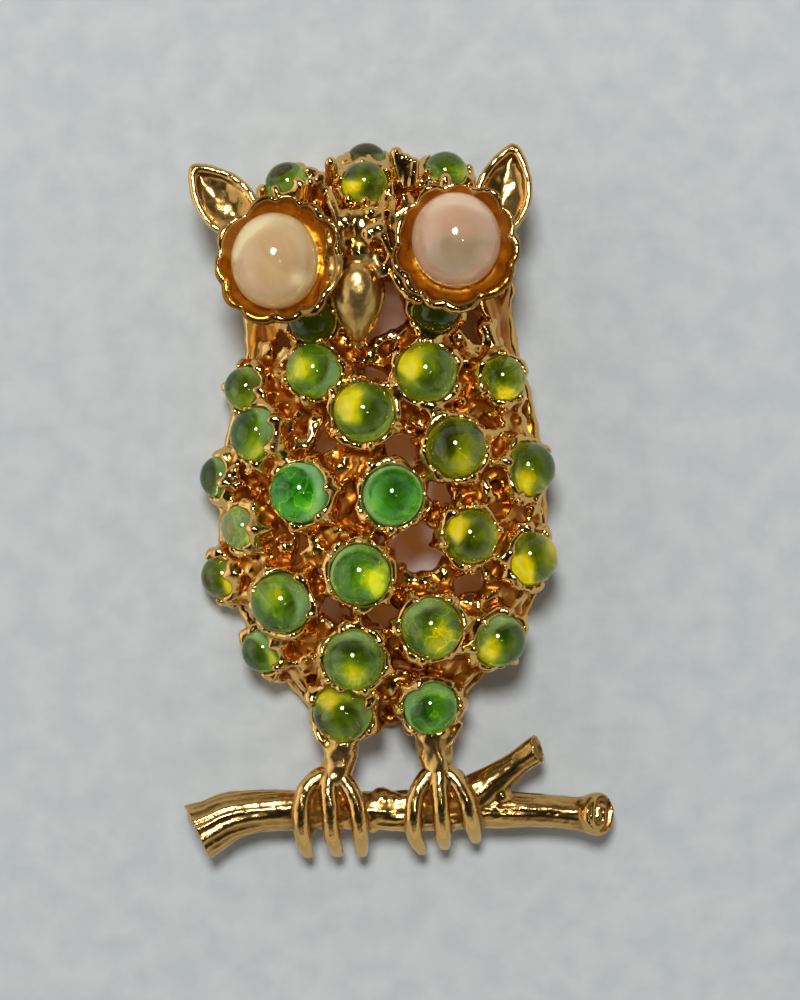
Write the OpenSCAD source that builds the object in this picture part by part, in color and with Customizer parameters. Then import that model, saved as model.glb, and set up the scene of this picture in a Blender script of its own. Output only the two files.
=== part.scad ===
// Owl brooch, lying on its back: a cast openwork owl on a branch, set with round cabochons.
// X runs to the right as seen from the front, Y towards the head, Z out of the owl's front.
// Z = 0 is the plane of the back rim, which the brooch lies on.

/* [Body] */
// Length of the pierced body, from the hips to the neck
body_l = 27; // [24:0.5:30]
// Width of the body across its widest lattice
body_w = 23.2; // [21:0.2:26]
// Height of the body's dome over the back rim
body_d = 8.2; // [7.4:0.1:9.4]

/* [Head] */
// Length of the head, from the neck to the crown
head_l = 12; // [11.4:0.1:12.6]
// Width of the head
head_w = 20; // [19:0.2:22]
// Height of the head's dome over the back rim
head_d = 7.6; // [7.2:0.1:8.6]

/* [Stones] */
// Diameter of the ten large green stones
large_d = 4.1; // [3.7:0.1:4.3]
// Diameter of the seven medium green stones
medium_d = 3.7; // [3.3:0.1:3.9]
// Diameter of the twelve small green stones
small_d = 3.1; // [2.7:0.1:3.2]
// Dome height of a stone, as a share of its radius
dome_rise = 0.95; // [0.7:0.05:1]
// Diameter of the two eye stones
eye_d = 5.9; // [5.4:0.1:6.3]
// Clearance between a stone and its seat
seat_gap = 0.08; // [0.05:0.01:0.12]

/* [Settings] */
// Wall of the cup around a green stone
bezel_w = 0.36; // [0.3:0.02:0.44]
// Depth of a cup under its stone
cup_d = 1.7; // [1.4:0.1:2]
// How far the five lobes of a cup stand out
lobe_w = 0.34; // [0.2:0.02:0.44]
// Width of the flared and scalloped dish around an eye stone
dish_w = 1.35; // [1.1:0.05:1.6]
// Depth of an eye dish
dish_d = 1.8; // [1.5:0.1:2.1]

/* [Lattice] */
// Diameter of a strut at its middle
strut_d = 1.35; // [1.1:0.05:1.6]
// Thickness of the webs between struts
web_t = 0.9; // [0.7:0.05:1.2]
// Thickness of the closed walls of the head
wall_t = 1; // [0.8:0.05:1.3]
// Width of the back rim
rim_w = 1.4; // [1.1:0.1:1.8]
// Height of the back rim
rim_h = 1.3; // [1:0.1:1.7]

/* [Ears and beak] */
// Length of an ear
ear_l = 7; // [6:0.2:7.6]
// Width of an ear
ear_w = 3.8; // [3.4:0.1:4.2]
// Thickness of an ear at its edge
ear_t = 1.5; // [1.2:0.1:1.8]
// Length of the beak
beak_l = 5.4; // [4.8:0.1:5.8]
// Width of the beak
beak_w = 3; // [2.6:0.1:3.4]

/* [Legs and branch] */
// Distance from the hips to the middle of the branch
leg_l = 5.9; // [5.4:0.1:6.6]
// Thickness of a leg at the ankle
ankle_d = 2.2; // [1.8:0.1:2.6]
// Thickness of a toe
toe_d = 1.3; // [1.1:0.05:1.5]
// Length of the branch
branch_l = 29.6; // [27:0.2:33]
// Thickness of the branch
branch_d = 2.8; // [2.4:0.1:3.2]
// Height of the branch's centre over the back plane
branch_z = 2.6; // [2.2:0.1:3]
// Length of the twig
twig_l = 5.8; // [5:0.2:7]
// Thickness of the twig
twig_d = 1.7; // [1.4:0.1:1.9]

/* [Pin] */
// Diameter of the pin stem
stem_d = 0.8; // [0.6:0.05:0.9]
// Width of the two bars that carry the pin
bar_w = 2.2; // [1.8:0.1:2.6]
// Thickness of the bars
bar_t = 1.2; // [1:0.1:1.4]
// Gap between the pin's blocks and the bars
pin_gap = 0.05; // [0.02:0.01:0.1]

/* [Hidden] */
// How the owl lies on its origin: the owl's centreline lies left of the branch's middle
branch_shift = 0.4;
toe_reach = 3.2;
crown_reach = 1.4;
half_height = (toe_reach + leg_l + body_l + head_l + crown_reach) / 2;
branch_y = toe_reach - half_height;
hip_y = branch_y + leg_l;

// The owl's dome: at each level, 0 at the hips, 1 at the neck and 2 at the crown, the left and
// right half widths and the depth, as shares of half the width and of the depth of the body,
// or of the head above the neck
SECTIONS = [
    // level, left, right, depth
    [0.00, 0.40, 0.40, 0.56],
    [0.06, 0.48, 0.47, 0.68],
    [0.13, 0.62, 0.64, 0.80],
    [0.20, 0.74, 0.79, 0.88],
    [0.32, 0.88, 0.95, 0.95],
    [0.46, 0.97, 1.02, 1.00],
    [0.61, 0.97, 1.02, 1.00],
    [0.72, 0.93, 1.00, 0.98],
    [0.82, 0.85, 0.97, 0.94],
    [0.91, 0.78, 0.92, 0.88],
    [1.00, 0.74, 0.88, 0.80],
    [1.21, 0.88, 1.04, 0.88],
    [1.46, 0.90, 1.06, 0.95],
    [1.71, 0.84, 0.98, 0.97],
    [1.83, 0.76, 0.88, 0.88],
    [1.94, 0.66, 0.76, 0.58],
    [2.00, 0.58, 0.68, 0.14]
];
// How square each flank is: 2 is round, and the right flank is the fuller one
left_curve = 2.2;
right_curve = 2.8;

// The green stones: across is a share of the half width there, negative to the left. Lean is
// the angle between a stone's axis and the front, and heading is where it leans to, in
// degrees from the right side towards the head
STONES = [
    // name, size, across, level, lean, heading
    ["stone_crown_1", "small", -0.65, 1.86, 60, 115],
    ["stone_crown_2", "small", 0.07, 1.95, 80, 90],
    ["stone_crown_3", "small", 0.04, 1.83, 32, 90],
    ["stone_crown_4", "small", 0.69, 1.87, 58, 70],
    ["stone_neck_1", "small", -0.42, 1.10, 18, 220],
    ["stone_neck_2", "small", 0.45, 1.12, 18, 320],
    ["stone_shoulder_1", "small", -0.88, 0.88, 52, 165],
    ["stone_shoulder_2", "medium", -0.40, 0.91, 26, 145],
    ["stone_shoulder_3", "large", 0.35, 0.89, 18, 60],
    ["stone_shoulder_4", "small", 0.81, 0.87, 32, 15],
    ["stone_chest_1", "medium", -0.72, 0.76, 52, 165],
    ["stone_chest_2", "large", -0.05, 0.80, 10, 100],
    ["stone_chest_3", "large", 0.46, 0.70, 24, 20],
    ["stone_middle_1", "small", -0.92, 0.66, 72, 175],
    ["stone_middle_2", "large", -0.43, 0.61, 28, 175],
    ["stone_middle_3", "large", 0.09, 0.59, 8, 20],
    ["stone_middle_4", "medium", 0.86, 0.64, 46, 5],
    ["stone_waist_1", "small", -0.78, 0.53, 62, 180],
    ["stone_waist_2", "small", -0.97, 0.41, 62, 190],
    ["stone_waist_3", "large", -0.12, 0.40, 5, 240],
    ["stone_waist_4", "medium", 0.51, 0.48, 26, 355],
    ["stone_waist_5", "medium", 0.86, 0.42, 44, 345],
    ["stone_belly_1", "large", -0.63, 0.34, 30, 200],
    ["stone_belly_2", "small", -0.90, 0.22, 56, 205],
    ["stone_belly_3", "large", -0.24, 0.19, 16, 240],
    ["stone_belly_4", "large", 0.32, 0.26, 16, 300],
    ["stone_belly_5", "medium", 0.80, 0.22, 38, 325],
    ["stone_hip_1", "large", -0.52, 0.06, 36, 240],
    ["stone_hip_2", "medium", 0.53, 0.06, 28, 290]
];
// Places without a stone where struts meet
KNOTS = [
    // name, across, level
    ["knot_beak", -0.06, 0.96],
    ["knot_flank", -0.38, 0.46]
];
// Each stone or knot and what its struts run to
STRUTS = [
    ["stone_neck_1", ["stone_shoulder_1", "stone_shoulder_2"]],
    ["stone_neck_2", ["stone_shoulder_3", "stone_shoulder_4"]],
    ["stone_shoulder_1", ["stone_shoulder_2", "stone_chest_1"]],
    ["stone_shoulder_2", ["knot_beak", "stone_chest_2", "stone_middle_2"]],
    ["stone_shoulder_3", ["knot_beak", "stone_chest_2", "stone_chest_3", "stone_shoulder_4"]],
    ["stone_shoulder_4", ["stone_chest_3", "stone_middle_4"]],
    ["stone_chest_1", ["stone_middle_1"]],
    ["stone_chest_2", ["stone_middle_2", "stone_middle_3"]],
    ["stone_chest_3", ["stone_middle_3", "stone_middle_4", "stone_waist_4"]],
    ["stone_middle_1", ["stone_waist_2"]],
    ["stone_middle_3", ["stone_waist_3", "stone_waist_4"]],
    ["stone_middle_4", ["stone_waist_4", "stone_waist_5"]],
    ["stone_waist_2", ["stone_belly_2"]],
    ["stone_waist_3", ["stone_middle_2", "stone_belly_1", "stone_belly_3", "stone_belly_4"]],
    ["stone_waist_4", ["stone_waist_5", "stone_belly_4"]],
    ["stone_waist_5", ["stone_belly_5"]],
    ["knot_flank", ["stone_middle_2", "stone_belly_1"]],
    ["stone_belly_3", ["stone_belly_1", "stone_belly_4", "stone_hip_2"]],
    ["stone_belly_4", ["stone_belly_5", "stone_hip_2"]],
    ["stone_hip_1", ["stone_belly_2", "stone_hip_2"]],
    ["stone_hip_2", ["stone_belly_5"]]
];
// The triangles of the lattice that a web fills
WEBS = [
    ["stone_shoulder_1", "stone_shoulder_2", "stone_chest_1"],
    ["stone_shoulder_2", "stone_chest_1", "stone_middle_2"],
    ["stone_shoulder_3", "stone_chest_2", "stone_chest_3"],
    ["stone_chest_1", "stone_middle_1", "stone_waist_1"],
    ["stone_chest_1", "stone_middle_2", "stone_waist_1"],
    ["stone_chest_2", "stone_middle_2", "stone_middle_3"],
    ["stone_middle_1", "stone_waist_1", "stone_waist_2"],
    ["stone_middle_2", "stone_middle_3", "stone_waist_3"],
    ["stone_middle_4", "stone_waist_4", "stone_waist_5"],
    ["stone_middle_2", "stone_waist_1", "stone_belly_1"],
    ["stone_waist_1", "stone_waist_2", "stone_belly_1"],
    ["stone_waist_2", "stone_belly_1", "stone_belly_2"],
    ["stone_belly_1", "stone_belly_2", "stone_hip_1"],
    ["stone_belly_1", "stone_belly_3", "stone_hip_1"],
    ["stone_belly_3", "stone_hip_1", "stone_hip_2"],
    ["stone_belly_4", "stone_belly_5", "stone_hip_2"]
];
// The ribs that run from a stone down to the back rim, and the level where each lands
RIBS = [
    ["stone_neck_1", 1.14],
    ["stone_shoulder_1", 0.92],
    ["stone_chest_1", 0.79],
    ["stone_middle_1", 0.65],
    ["stone_waist_1", 0.51],
    ["stone_waist_2", 0.39],
    ["stone_belly_2", 0.24],
    ["stone_hip_1", 0.07],
    ["stone_hip_2", 0.07],
    ["stone_belly_5", 0.17],
    ["stone_belly_5", 0.27],
    ["stone_waist_5", 0.41],
    ["stone_middle_4", 0.55],
    ["stone_middle_4", 0.69],
    ["stone_shoulder_4", 0.87]
];

// The eyes: how far each stone lies from the centreline as a share of half the head, its
// level, the lean and heading of its dish, and how far the dish lies off the stone's centre
EYES = [
    // name, across, level, lean, heading, dish off
    ["eye_left", -0.60, 1.43, 6, 180, [0.35, 0.05]],
    ["eye_right", 0.63, 1.50, 6, 90, [-0.05, -0.5]]
];
dish_r = eye_d / 2 + dish_w;
dish_rise = 1.7;
dish_foot = 0.74;
scallops = 11;
scallop_depth = 0.22;
girdle = 0.28;
lobes = 5;
cup_sides = 10;
cone_sides = 7;
rib_sides = 4;
cup_foot = 0.55;
web_sink = 1.15;
strut_sides = 5;
leaf_points = 7;
back_cut = 60;

// The dome as lengths, and points on it
LEFT = [for (s = SECTIONS) [s[0], s[1] * (s[0] <= 1 ? body_w : head_w) / 2]];
RIGHT = [for (s = SECTIONS) [s[0], s[2] * (s[0] <= 1 ? body_w : head_w) / 2]];
DEPTH = [for (s = SECTIONS) [s[0], s[3] * (s[0] <= 1 ? body_d : head_d)]];
function level_y(level) = hip_y + body_l * min(level, 1) + head_l * max(level - 1, 0);
function half_w(across, level) = lookup(level, across < 0 ? LEFT : RIGHT);
function bulge(u, n) = pow(max(1 - pow(min(abs(u), 1), n), 0), 1 / n);
function dome(across, level) = [
    max(min(across, 1), -1) * half_w(across, level) - branch_shift,
    level_y(level),
    lookup(level, DEPTH) * bulge(across, across < 0 ? left_curve : right_curve)
];
function unit(v) = v / norm(v);
function normal(across, level) =
    let (e = 0.02, a = max(min(across, 1 - e), e - 1), l = max(min(level, 2 - e), e))
    unit(cross(dome(a + e, l) - dome(a - e, l), dome(a, l + e) - dome(a, l - e)));
function under(across, level, sink) = dome(across, level) - sink * normal(across, level);
function blend(a, b, t) = a + (b - a) * t;

// Stones and knots by name, as [across, level]
function place(name) = [
    for (s = STONES) if (s[0] == name) [s[2], s[3]],
    for (k = KNOTS) if (k[0] == name) [k[1], k[2]]
][0];
function stone_d(size) = size == "large" ? large_d : size == "medium" ? medium_d : small_d;

// A round bar of flat facets along a path, with a radius at each of its points
module bar_along(path, radii, sides = strut_sides) {
    last = len(path) - 1;
    chord = unit(path[last] - path[0]);
    guide = abs(chord[1]) < 0.7 ? [0, 1, 0] : [1, 0, 0];
    rings = [
        for (i = [0:last])
            let (
                along = unit(path[min(i + 1, last)] - path[max(i - 1, 0)]),
                side = unit(cross(guide, along)),
                up = cross(along, side)
            )
            for (k = [0:sides - 1])
                path[i] + radii[i] * (cos(360 * k / sides) * side + sin(360 * k / sides) * up)
    ];
    polyhedron(rings, concat(
        [[for (k = [0:sides - 1]) k]],
        [for (i = [0:last - 1], k = [0:sides - 1])
            [i * sides + k, (i + 1) * sides + k, i * sides + (k + 1) % sides]],
        [for (i = [0:last - 1], k = [0:sides - 1])
            [i * sides + (k + 1) % sides, (i + 1) * sides + k, (i + 1) * sides + (k + 1) % sides]],
        [[for (k = [sides - 1:-1:0]) last * sides + k]]
    ));
}

// A closed piece of the dome's wall between two shares across and two levels
module wall_patch(from, to, low, high, columns, rows) {
    across = [for (i = [0:columns]) blend(from, to, i / columns)];
    levels = [for (j = [0:rows]) blend(low, high, j / rows)];
    n = (columns + 1) * (rows + 1);
    outer = [for (l = levels, a = across) dome(a, l)];
    inner = [for (l = levels, a = across) under(a, l, wall_t)];
    edge = concat(
        [for (i = [0:columns]) i],
        [for (j = [1:rows]) j * (columns + 1) + columns],
        [for (i = [columns - 1:-1:0]) rows * (columns + 1) + i],
        [for (j = [rows - 1:-1:1]) j * (columns + 1)]
    );
    polyhedron(concat(outer, inner), concat(
        [for (j = [0:rows - 1], i = [0:columns - 1]) let (p = j * (columns + 1) + i)
            each [[p, p + columns + 1, p + 1], [p + 1, p + columns + 1, p + columns + 2]]],
        [for (j = [0:rows - 1], i = [0:columns - 1]) let (p = n + j * (columns + 1) + i)
            each [[p, p + 1, p + columns + 1], [p + 1, p + columns + 2, p + columns + 1]]],
        [for (i = [0:len(edge) - 1]) let (a = edge[i], b = edge[(i + 1) % len(edge)])
            each [[a, b, n + b], [a, n + b, n + a]]]
    ));
}

// What lies at a stone's seat is drawn with Z along the stone's axis
module at_stone(s) {
    translate(dome(s[2], s[3])) rotate([0, s[4], s[5]]) children();
}

// A round stone: a low cylinder that is its girdle and a high dome
module cabochon(d, rise) {
    r = d / 2;
    ball = (r * r + rise * rise) / (2 * rise);
    union() {
        cylinder(h = girdle * r, r = r, $fn = 48);
        intersection() {
            translate([0, 0, girdle * r + rise - ball]) sphere(r = ball, $fn = 48);
            cylinder(h = girdle * r + 2 * rise, r = r, $fn = 48);
        }
    }
}

module green_stone(s) {
    d = stone_d(s[1]);
    color("yellowgreen") at_stone(s) translate([0, 0, seat_gap]) cabochon(d, dome_rise * d / 2);
}

// A cup: a lobed rim round the stone's girdle on a cone that runs into the lattice
module cup(d, turn) {
    r = d / 2 + seat_gap + bezel_w;
    rim = [for (i = [0:2 * lobes - 1]) (r + (i % 2 == 0 ? lobe_w : 0)) * [cos(180 * i / lobes),
        sin(180 * i / lobes)]];
    rotate(turn) {
        translate([0, 0, -cup_d]) cylinder(h = cup_d, r1 = r * cup_foot, r2 = r, $fn = cone_sides);
        linear_extrude(girdle * d / 2 + 0.25) polygon(rim);
    }
}

module seat(d, height, turn = 0) {
    rotate(turn) cylinder(h = height, r = (d / 2 + seat_gap) / cos(180 / cup_sides), $fn = cup_sides);
}

function link_path(a, b, sink) =
    [for (t = [0.22, 0.5, 0.78]) under(blend(a[0], b[0], t), blend(a[1], b[1], t), sink)];

module lattice() {
    r = strut_d / 2;
    for (row = STRUTS, end = row[1])
        bar_along(link_path(place(row[0]), place(end), web_sink), [1.4 * r, r, 1.4 * r]);
    for (rib = RIBS) {
        a = place(rib[0]);
        bar_along(link_path(a, [sign(a[0]) * 0.97, rib[1]], web_sink), [1.4 * r, r, r], rib_sides);
    }
    for (web = WEBS)
        hull() polyhedron(
            [for (sink = [-0.5, 0.5], name = web)
                under(place(name)[0], place(name)[1], web_sink - 0.1 + sink * web_t)],
            [[0, 1, 2], [5, 4, 3], [0, 3, 4, 1], [1, 4, 5, 2], [2, 5, 3, 0]]
        );
}

// The flat loop that the brooch lies on, following the dome's widest line
module back_rim() {
    levels = [for (s = SECTIONS) s[0]];
    loop = concat(
        [for (l = levels) [dome(1, l)[0], level_y(l)]],
        [for (i = [len(levels) - 1:-1:0]) [dome(-1, levels[i])[0], level_y(levels[i])]]
    );
    linear_extrude(rim_h) difference() {
        polygon(loop);
        offset(delta = -rim_w) polygon(loop);
    }
}

function eye_place(e) = [e[1] * head_w / 2 - branch_shift, level_y(e[2]), head_d + dish_rise];
module at_eye(e) {
    translate(eye_place(e)) rotate([0, 0, e[4]]) rotate([0, e[3], 0]) rotate([0, 0, -e[4]]) children();
}

// An eye dish: a flared bowl with a scalloped rim, on a foot that runs into the head
module eye_dish(off) {
    points = 2 * scallops;
    scallop = [for (i = [0:points - 1]) dish_foot
        * (off + (dish_r - (i % 2) * scallop_depth) * [cos(360 * i / points), sin(360 * i / points)])];
    translate([0, 0, -dish_d]) difference() {
        linear_extrude(dish_d, scale = 1 / dish_foot) polygon(scallop);
        translate([0, 0, wall_t]) linear_extrude(dish_d, scale = 1 / dish_foot) polygon(0.93 * scallop);
    }
    translate([0, 0, -dish_d - dish_rise]) cylinder(h = dish_rise + 0.1, r = dish_r * 0.6, $fn = 8);
}

module eye_stone(e) {
    color("peachpuff") at_eye(e) translate([0, 0, seat_gap + 0.5 * wall_t - dish_d])
        cabochon(eye_d, dome_rise * eye_d / 2);
}

// A leaf outline from its root to its tip
function leaf(length, width) = [
    for (i = [0:leaf_points]) [-width / 2 * pow(sin(180 * i / leaf_points), 0.8), length * i / leaf_points],
    for (i = [leaf_points - 1:-1:1]) [width / 2 * pow(sin(180 * i / leaf_points), 0.8), length * i / leaf_points]
];

// An ear: a hollowed leaf whose root lies under the eye dish
module ear(root, turn) {
    translate(root) rotate([0, 0, turn]) rotate([-8, 0, 0]) difference() {
        linear_extrude(ear_t) polygon(leaf(ear_l, ear_w));
        translate([0, 0.12 * ear_l, 0.4 * ear_t]) linear_extrude(ear_t) polygon(leaf(0.8 * ear_l, 0.7 * ear_w));
    }
}

module ears() {
    ear([-0.68 * head_w / 2 - branch_shift, level_y(1.55), 0.83 * head_d], 40);
    ear([0.88 * head_w / 2 - branch_shift, level_y(1.46), 0.83 * head_d], -15);
}

// The beak, an almond with a thin flange behind it, and the ridge of the brow above it
module beak() {
    top = [-0.05 * head_w / 2 - branch_shift, level_y(1.36), head_d + 1.2];
    tip = [top[0], top[1] - beak_l + beak_w / 2, head_d - 0.2];
    hull() {
        translate(top) sphere(d = beak_w, $fn = 14);
        translate(blend(top, tip, 0.4)) sphere(d = 0.86 * beak_w, $fn = 14);
        translate(tip) sphere(d = 0.25 * beak_w, $fn = 8);
    }
    hull() {
        translate(top + [0, 0.3 * beak_w, -0.35 * beak_w]) cylinder(h = 0.6, d = 1.05 * beak_w, $fn = 12);
        translate(blend(top, tip, 0.4) - [0, 0, 0.4 * beak_w]) cylinder(h = 0.5, d = 1.1 * beak_w, $fn = 12);
        translate(tip - [0, 0, 0.5]) cylinder(h = 0.5, d = 0.4 * beak_w, $fn = 8);
    }
    bar_along([tip, under(-0.06, 0.96, web_sink)], [0.2 * beak_w, 0.3 * beak_w]);
}

module brow() {
    bar_along([
        under(0.03, 1.90, wall_t),
        dome(0.03, 1.78) - [0, 0, 0.4],
        dome(0.02, 1.62) + [0, 0, 0.3],
        dome(0, 1.48) + [0, 0, 0.6],
        dome(-0.02, 1.34) + [0, 0, 0.2]
    ], [1.2, 1.5, 1.6, 1.7, 1.4], 6);
}

module head() {
    wall_patch(-0.99, 0.99, 1.60, 1.99, 10, 4);
    wall_patch(-0.99, -0.66, 1.04, 1.64, 2, 3);
    wall_patch(0.76, 0.99, 1.02, 1.64, 2, 3);
    ears();
    beak();
    brow();
    for (e = EYES) at_eye(e) eye_dish(e[5]);
    for (e = EYES) bar_along([
        eye_place(e) - [0, 0.5 * dish_r, dish_d],
        under(place(e[1] < 0 ? "stone_neck_1" : "stone_neck_2")[0], 1.12, web_sink)
    ], [1.05, 0.85]);
}

// The two legs, from the cups at the hips to the ankles, and the three toes of each foot
LEGS = [
    // stone above, ankle across, foot across, as shares of half the body
    ["stone_hip_1", -0.30, -0.37],
    ["stone_hip_2", 0.28, 0.29]
];
toe_spread = 1.9;
module legs() {
    for (leg = LEGS) {
        hip = place(leg[0]);
        ankle = [leg[1] * body_w / 2 - branch_shift, branch_y + 4, branch_z + 1.4];
        foot = [leg[2] * body_w / 2 - branch_shift, branch_y + 2.6, branch_z + 1.2];
        bar_along([under(hip[0], hip[1], 0.9), blend(under(hip[0], hip[1], 1), ankle, 0.6), ankle, foot],
            [0.75 * ankle_d, 0.6 * ankle_d, 0.5 * ankle_d, 0.72 * ankle_d], 7);
        for (k = [-1:1]) toe(foot, foot[0] + k * toe_spread);
    }
}

module toe(foot, x) {
    r = toe_d / 2;
    top = branch_z + branch_d / 2;
    bar_along([
        foot + [0, 0.15, -0.15],
        [blend(foot[0], x, 0.85), branch_y + 1.6, top + 0.1],
        [x, branch_y - 0.3, top + 0.8 * r],
        [x, branch_y - 1.7, top + 0.1 * r],
        [x, branch_y - toe_reach + 0.8 * r, branch_z - 0.4]
    ], [1.1 * r, r, r, r, 0.7 * r]);
}

// The branch: its thickness along its length, with a flared and slanting left end
BRANCH = [
    // along, thickness, drop
    [-0.50, 1.46, 0.38],
    [-0.42, 1.30, 0.12],
    [-0.31, 1.04, -0.16],
    [-0.18, 1.00, -0.12],
    [0.00, 1.02, 0.00],
    [0.18, 1.00, 0.12],
    [0.32, 0.86, 0.25],
    [0.42, 0.90, 0.36],
    [0.475, 1.10, 0.40],
    [0.50, 1.06, 0.40]
];
module branch() {
    difference() {
        bar_along([for (b = BRANCH) [b[0] * branch_l, branch_y - b[2] * branch_d, branch_z]],
            [for (b = BRANCH) b[1] * branch_d / 2], 10);
        translate([0.3 - branch_l / 2, branch_y, 0]) rotate([0, 0, 30])
            translate([-2 * branch_d, -2 * branch_d, -branch_d]) cube([2 * branch_d, 4 * branch_d, 4 * branch_d]);
    }
    root = [0.17 * branch_l, branch_y + 0.2 * branch_d, branch_z + 0.2];
    bar_along([
        root,
        root + twig_l * [0.45, 0.22, 0.03],
        root + twig_l * [0.86, 0.5, 0.03]
    ], [0.62 * twig_d, 0.45 * twig_d, 0.5 * twig_d], 8);
}

// The two bars across the hollow back, and the pin that they carry
BARS = [
    // level, where the pin's stem crosses it
    [1.40, -0.02],
    [0.17, -0.24]
];
bar_z = 1.5;
module bars() {
    for (bar = BARS) {
        left = dome(-1, bar[0])[0] + 0.5 * rim_w;
        right = dome(1, bar[0])[0] - 0.5 * rim_w;
        translate([left, level_y(bar[0]) - bar_w / 2, bar_z]) cube([right - left, bar_w, bar_t]);
        for (x = [left, right]) translate([x - 0.45 * rim_w, level_y(bar[0]) - bar_w / 2, rim_h - 0.3])
            cube([0.9 * rim_w, bar_w, bar_z + bar_t - rim_h + 0.3]);
    }
}

module pin_back() {
    block = bar_z - pin_gap - 0.35;
    seats = [for (bar = BARS) dome(bar[1], bar[0])];
    run = seats[1] - seats[0];
    color("darkgoldenrod") union() {
        for (p = seats) translate([p[0] - 1.3, p[1] - bar_w / 2, 0.35]) cube([2.6, bar_w, block]);
        translate([seats[0][0], seats[0][1], 0.35 + block / 2]) rotate([0, 0, atan2(run[1], run[0])])
            rotate([0, 90, 0]) cylinder(h = norm([run[0], run[1]]) + 0.8 * bar_w, d = stem_d, $fn = 24);
    }
}

// All the cast metal is one solid, cut for the seats of the stones
module casting() {
    color("goldenrod") intersection() {
        difference() {
            union() {
                lattice();
                back_rim();
                head();
                legs();
                branch();
                bars();
                for (s = STONES) at_stone(s) cup(stone_d(s[1]), s[4]);
            }
            for (s = STONES) at_stone(s) seat(stone_d(s[1]), 1.6 * stone_d(s[1]), s[4]);
            for (e = EYES) at_eye(e) translate([0, 0, 0.5 * wall_t - dish_d]) seat(eye_d, eye_d);
        }
        translate([-back_cut / 2, -back_cut / 2, 0]) cube(back_cut);
    }
}

casting();
eye_stone(EYES[0]);  // eye_left
eye_stone(EYES[1]);  // eye_right
pin_back();
for (s = STONES) green_stone(s);
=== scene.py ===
"""The looks of an owl brooch: a gilt openwork casting on a branch, set with round glass cabochons."""
from functools import partial
from itertools import product

import bpy
import numpy as np
from mathutils import Matrix


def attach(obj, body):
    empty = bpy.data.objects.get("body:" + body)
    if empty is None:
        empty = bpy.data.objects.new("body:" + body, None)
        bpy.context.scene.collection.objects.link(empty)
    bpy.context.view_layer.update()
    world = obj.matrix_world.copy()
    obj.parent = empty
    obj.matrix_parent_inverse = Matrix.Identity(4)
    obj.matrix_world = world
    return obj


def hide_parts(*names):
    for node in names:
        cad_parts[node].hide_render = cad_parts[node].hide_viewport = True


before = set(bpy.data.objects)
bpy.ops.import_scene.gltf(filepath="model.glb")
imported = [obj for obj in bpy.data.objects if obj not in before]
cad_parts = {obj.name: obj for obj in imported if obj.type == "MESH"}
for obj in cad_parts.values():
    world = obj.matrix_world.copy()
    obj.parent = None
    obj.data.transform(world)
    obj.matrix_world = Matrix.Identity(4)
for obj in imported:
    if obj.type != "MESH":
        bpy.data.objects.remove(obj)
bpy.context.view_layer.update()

# The green cabochons. Each is a drop of clear yellow-green pressed glass with a flat back and a
# fire-polished dome, dropped into its cup and held by claws bent over its edge.
MM = 0.001
GIRDLE = 0.26
TIMES_PLUS, OF_COLOURS = {"operation": "MULTIPLY_ADD"}, {"data_type": "RGBA"}
dice = np.random.default_rng(29)


def unit(v):
    """Vectors at length one."""
    return v / np.maximum(np.linalg.norm(v, axis=-1, keepdims=True), 1e-12)


def rising(value, start, width):
    """A ramp from 0 at a start to 1 a width further on, which may be negative to ramp the other way."""
    return np.clip((value - start) / width, 0, 1)


def linear(code):
    """A hex colour's sRGB curve undone, as linear red, green, blue and full alpha."""
    c = np.array([int(code[i:i + 2], 16) for i in (1, 3, 5)]) / 255
    return (*np.where(c <= 0.04045, c / 12.92, ((c + 0.055) / 1.055) ** 2.4), 1.0)


def add(material, kind, settings=None, links=None, out=0):
    """Adds a node to a material's tree and returns one of its outputs. Its settings go by name, a
    ramp's stops as pairs of place and hex colour, and each of its inputs takes a value or a source."""
    node = material.node_tree.nodes.new("ShaderNode" + kind)
    for name, value in (settings or {}).items():
        if name == "stops":
            points = node.color_ramp.elements
            while len(points) < len(value):
                points.new(0.5)
            for point, (place, code) in zip(points, value):
                point.position, point.color = place, linear(code)
        else:
            setattr(node, name, value)
    for name, value in (links or {}).items():
        if isinstance(value, bpy.types.NodeSocket):
            material.node_tree.links.new(value, node.inputs[name])
        else:
            node.inputs[name].default_value = value
    return node.outputs[out] if node.outputs else None


def finish_of(name, surface):
    """A new material with one shader, whose values and sources a function gives by socket. It is
    handed the way to add a node to this material, and the object's own coordinates."""
    material = bpy.data.materials.new(name)
    material.use_nodes = True
    material.node_tree.nodes.clear()
    node = partial(add, material)
    shader = node("BsdfPrincipled", {}, surface(node, node("TexCoord", out="Object")))
    node("OutputMaterial", {}, {"Surface": shader})
    return material


def outward(points, faces):
    """The faces of a closed skin, turned round if its signed volume is negative."""
    a, b, c = (points[faces[:, k]] for k in range(3))
    return points, faces if np.einsum("ij,ij->", a, np.cross(b, c)) > 0 else faces[:, ::-1]


def skin(rings):
    """A closed skin over rings of points: each ring joins the next in two rows of triangles, and
    each end ring closes on its own middle."""
    m, n = rings.shape[:2]
    k = np.arange(n)
    a = (np.arange(m - 1)[:, None] * n + k).ravel()
    b = (np.arange(m - 1)[:, None] * n + (k + 1) % n).ravel()
    sides = np.concatenate([np.stack([a, b, b + n], 1), np.stack([a, b + n, a + n], 1)])
    first = np.stack([np.full(n, m * n), (k + 1) % n, k], 1)
    last = np.stack([np.full(n, m * n + 1), (m - 1) * n + k, (m - 1) * n + (k + 1) % n], 1)
    points = np.concatenate([rings.reshape(-1, 3), rings[:1].mean(1), rings[-1:].mean(1)])
    return outward(points, np.concatenate([sides, first, last]))


def ring_of(sides):
    """The angles of a ring's points, evenly spaced once round."""
    return np.linspace(0, 2 * np.pi, sides, endpoint=False)


def around(seat, turn):
    """The directions across a seat's axis at some angles."""
    return np.cos(turn)[..., None] * seat["u"] + np.sin(turn)[..., None] * seat["v"]


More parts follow.
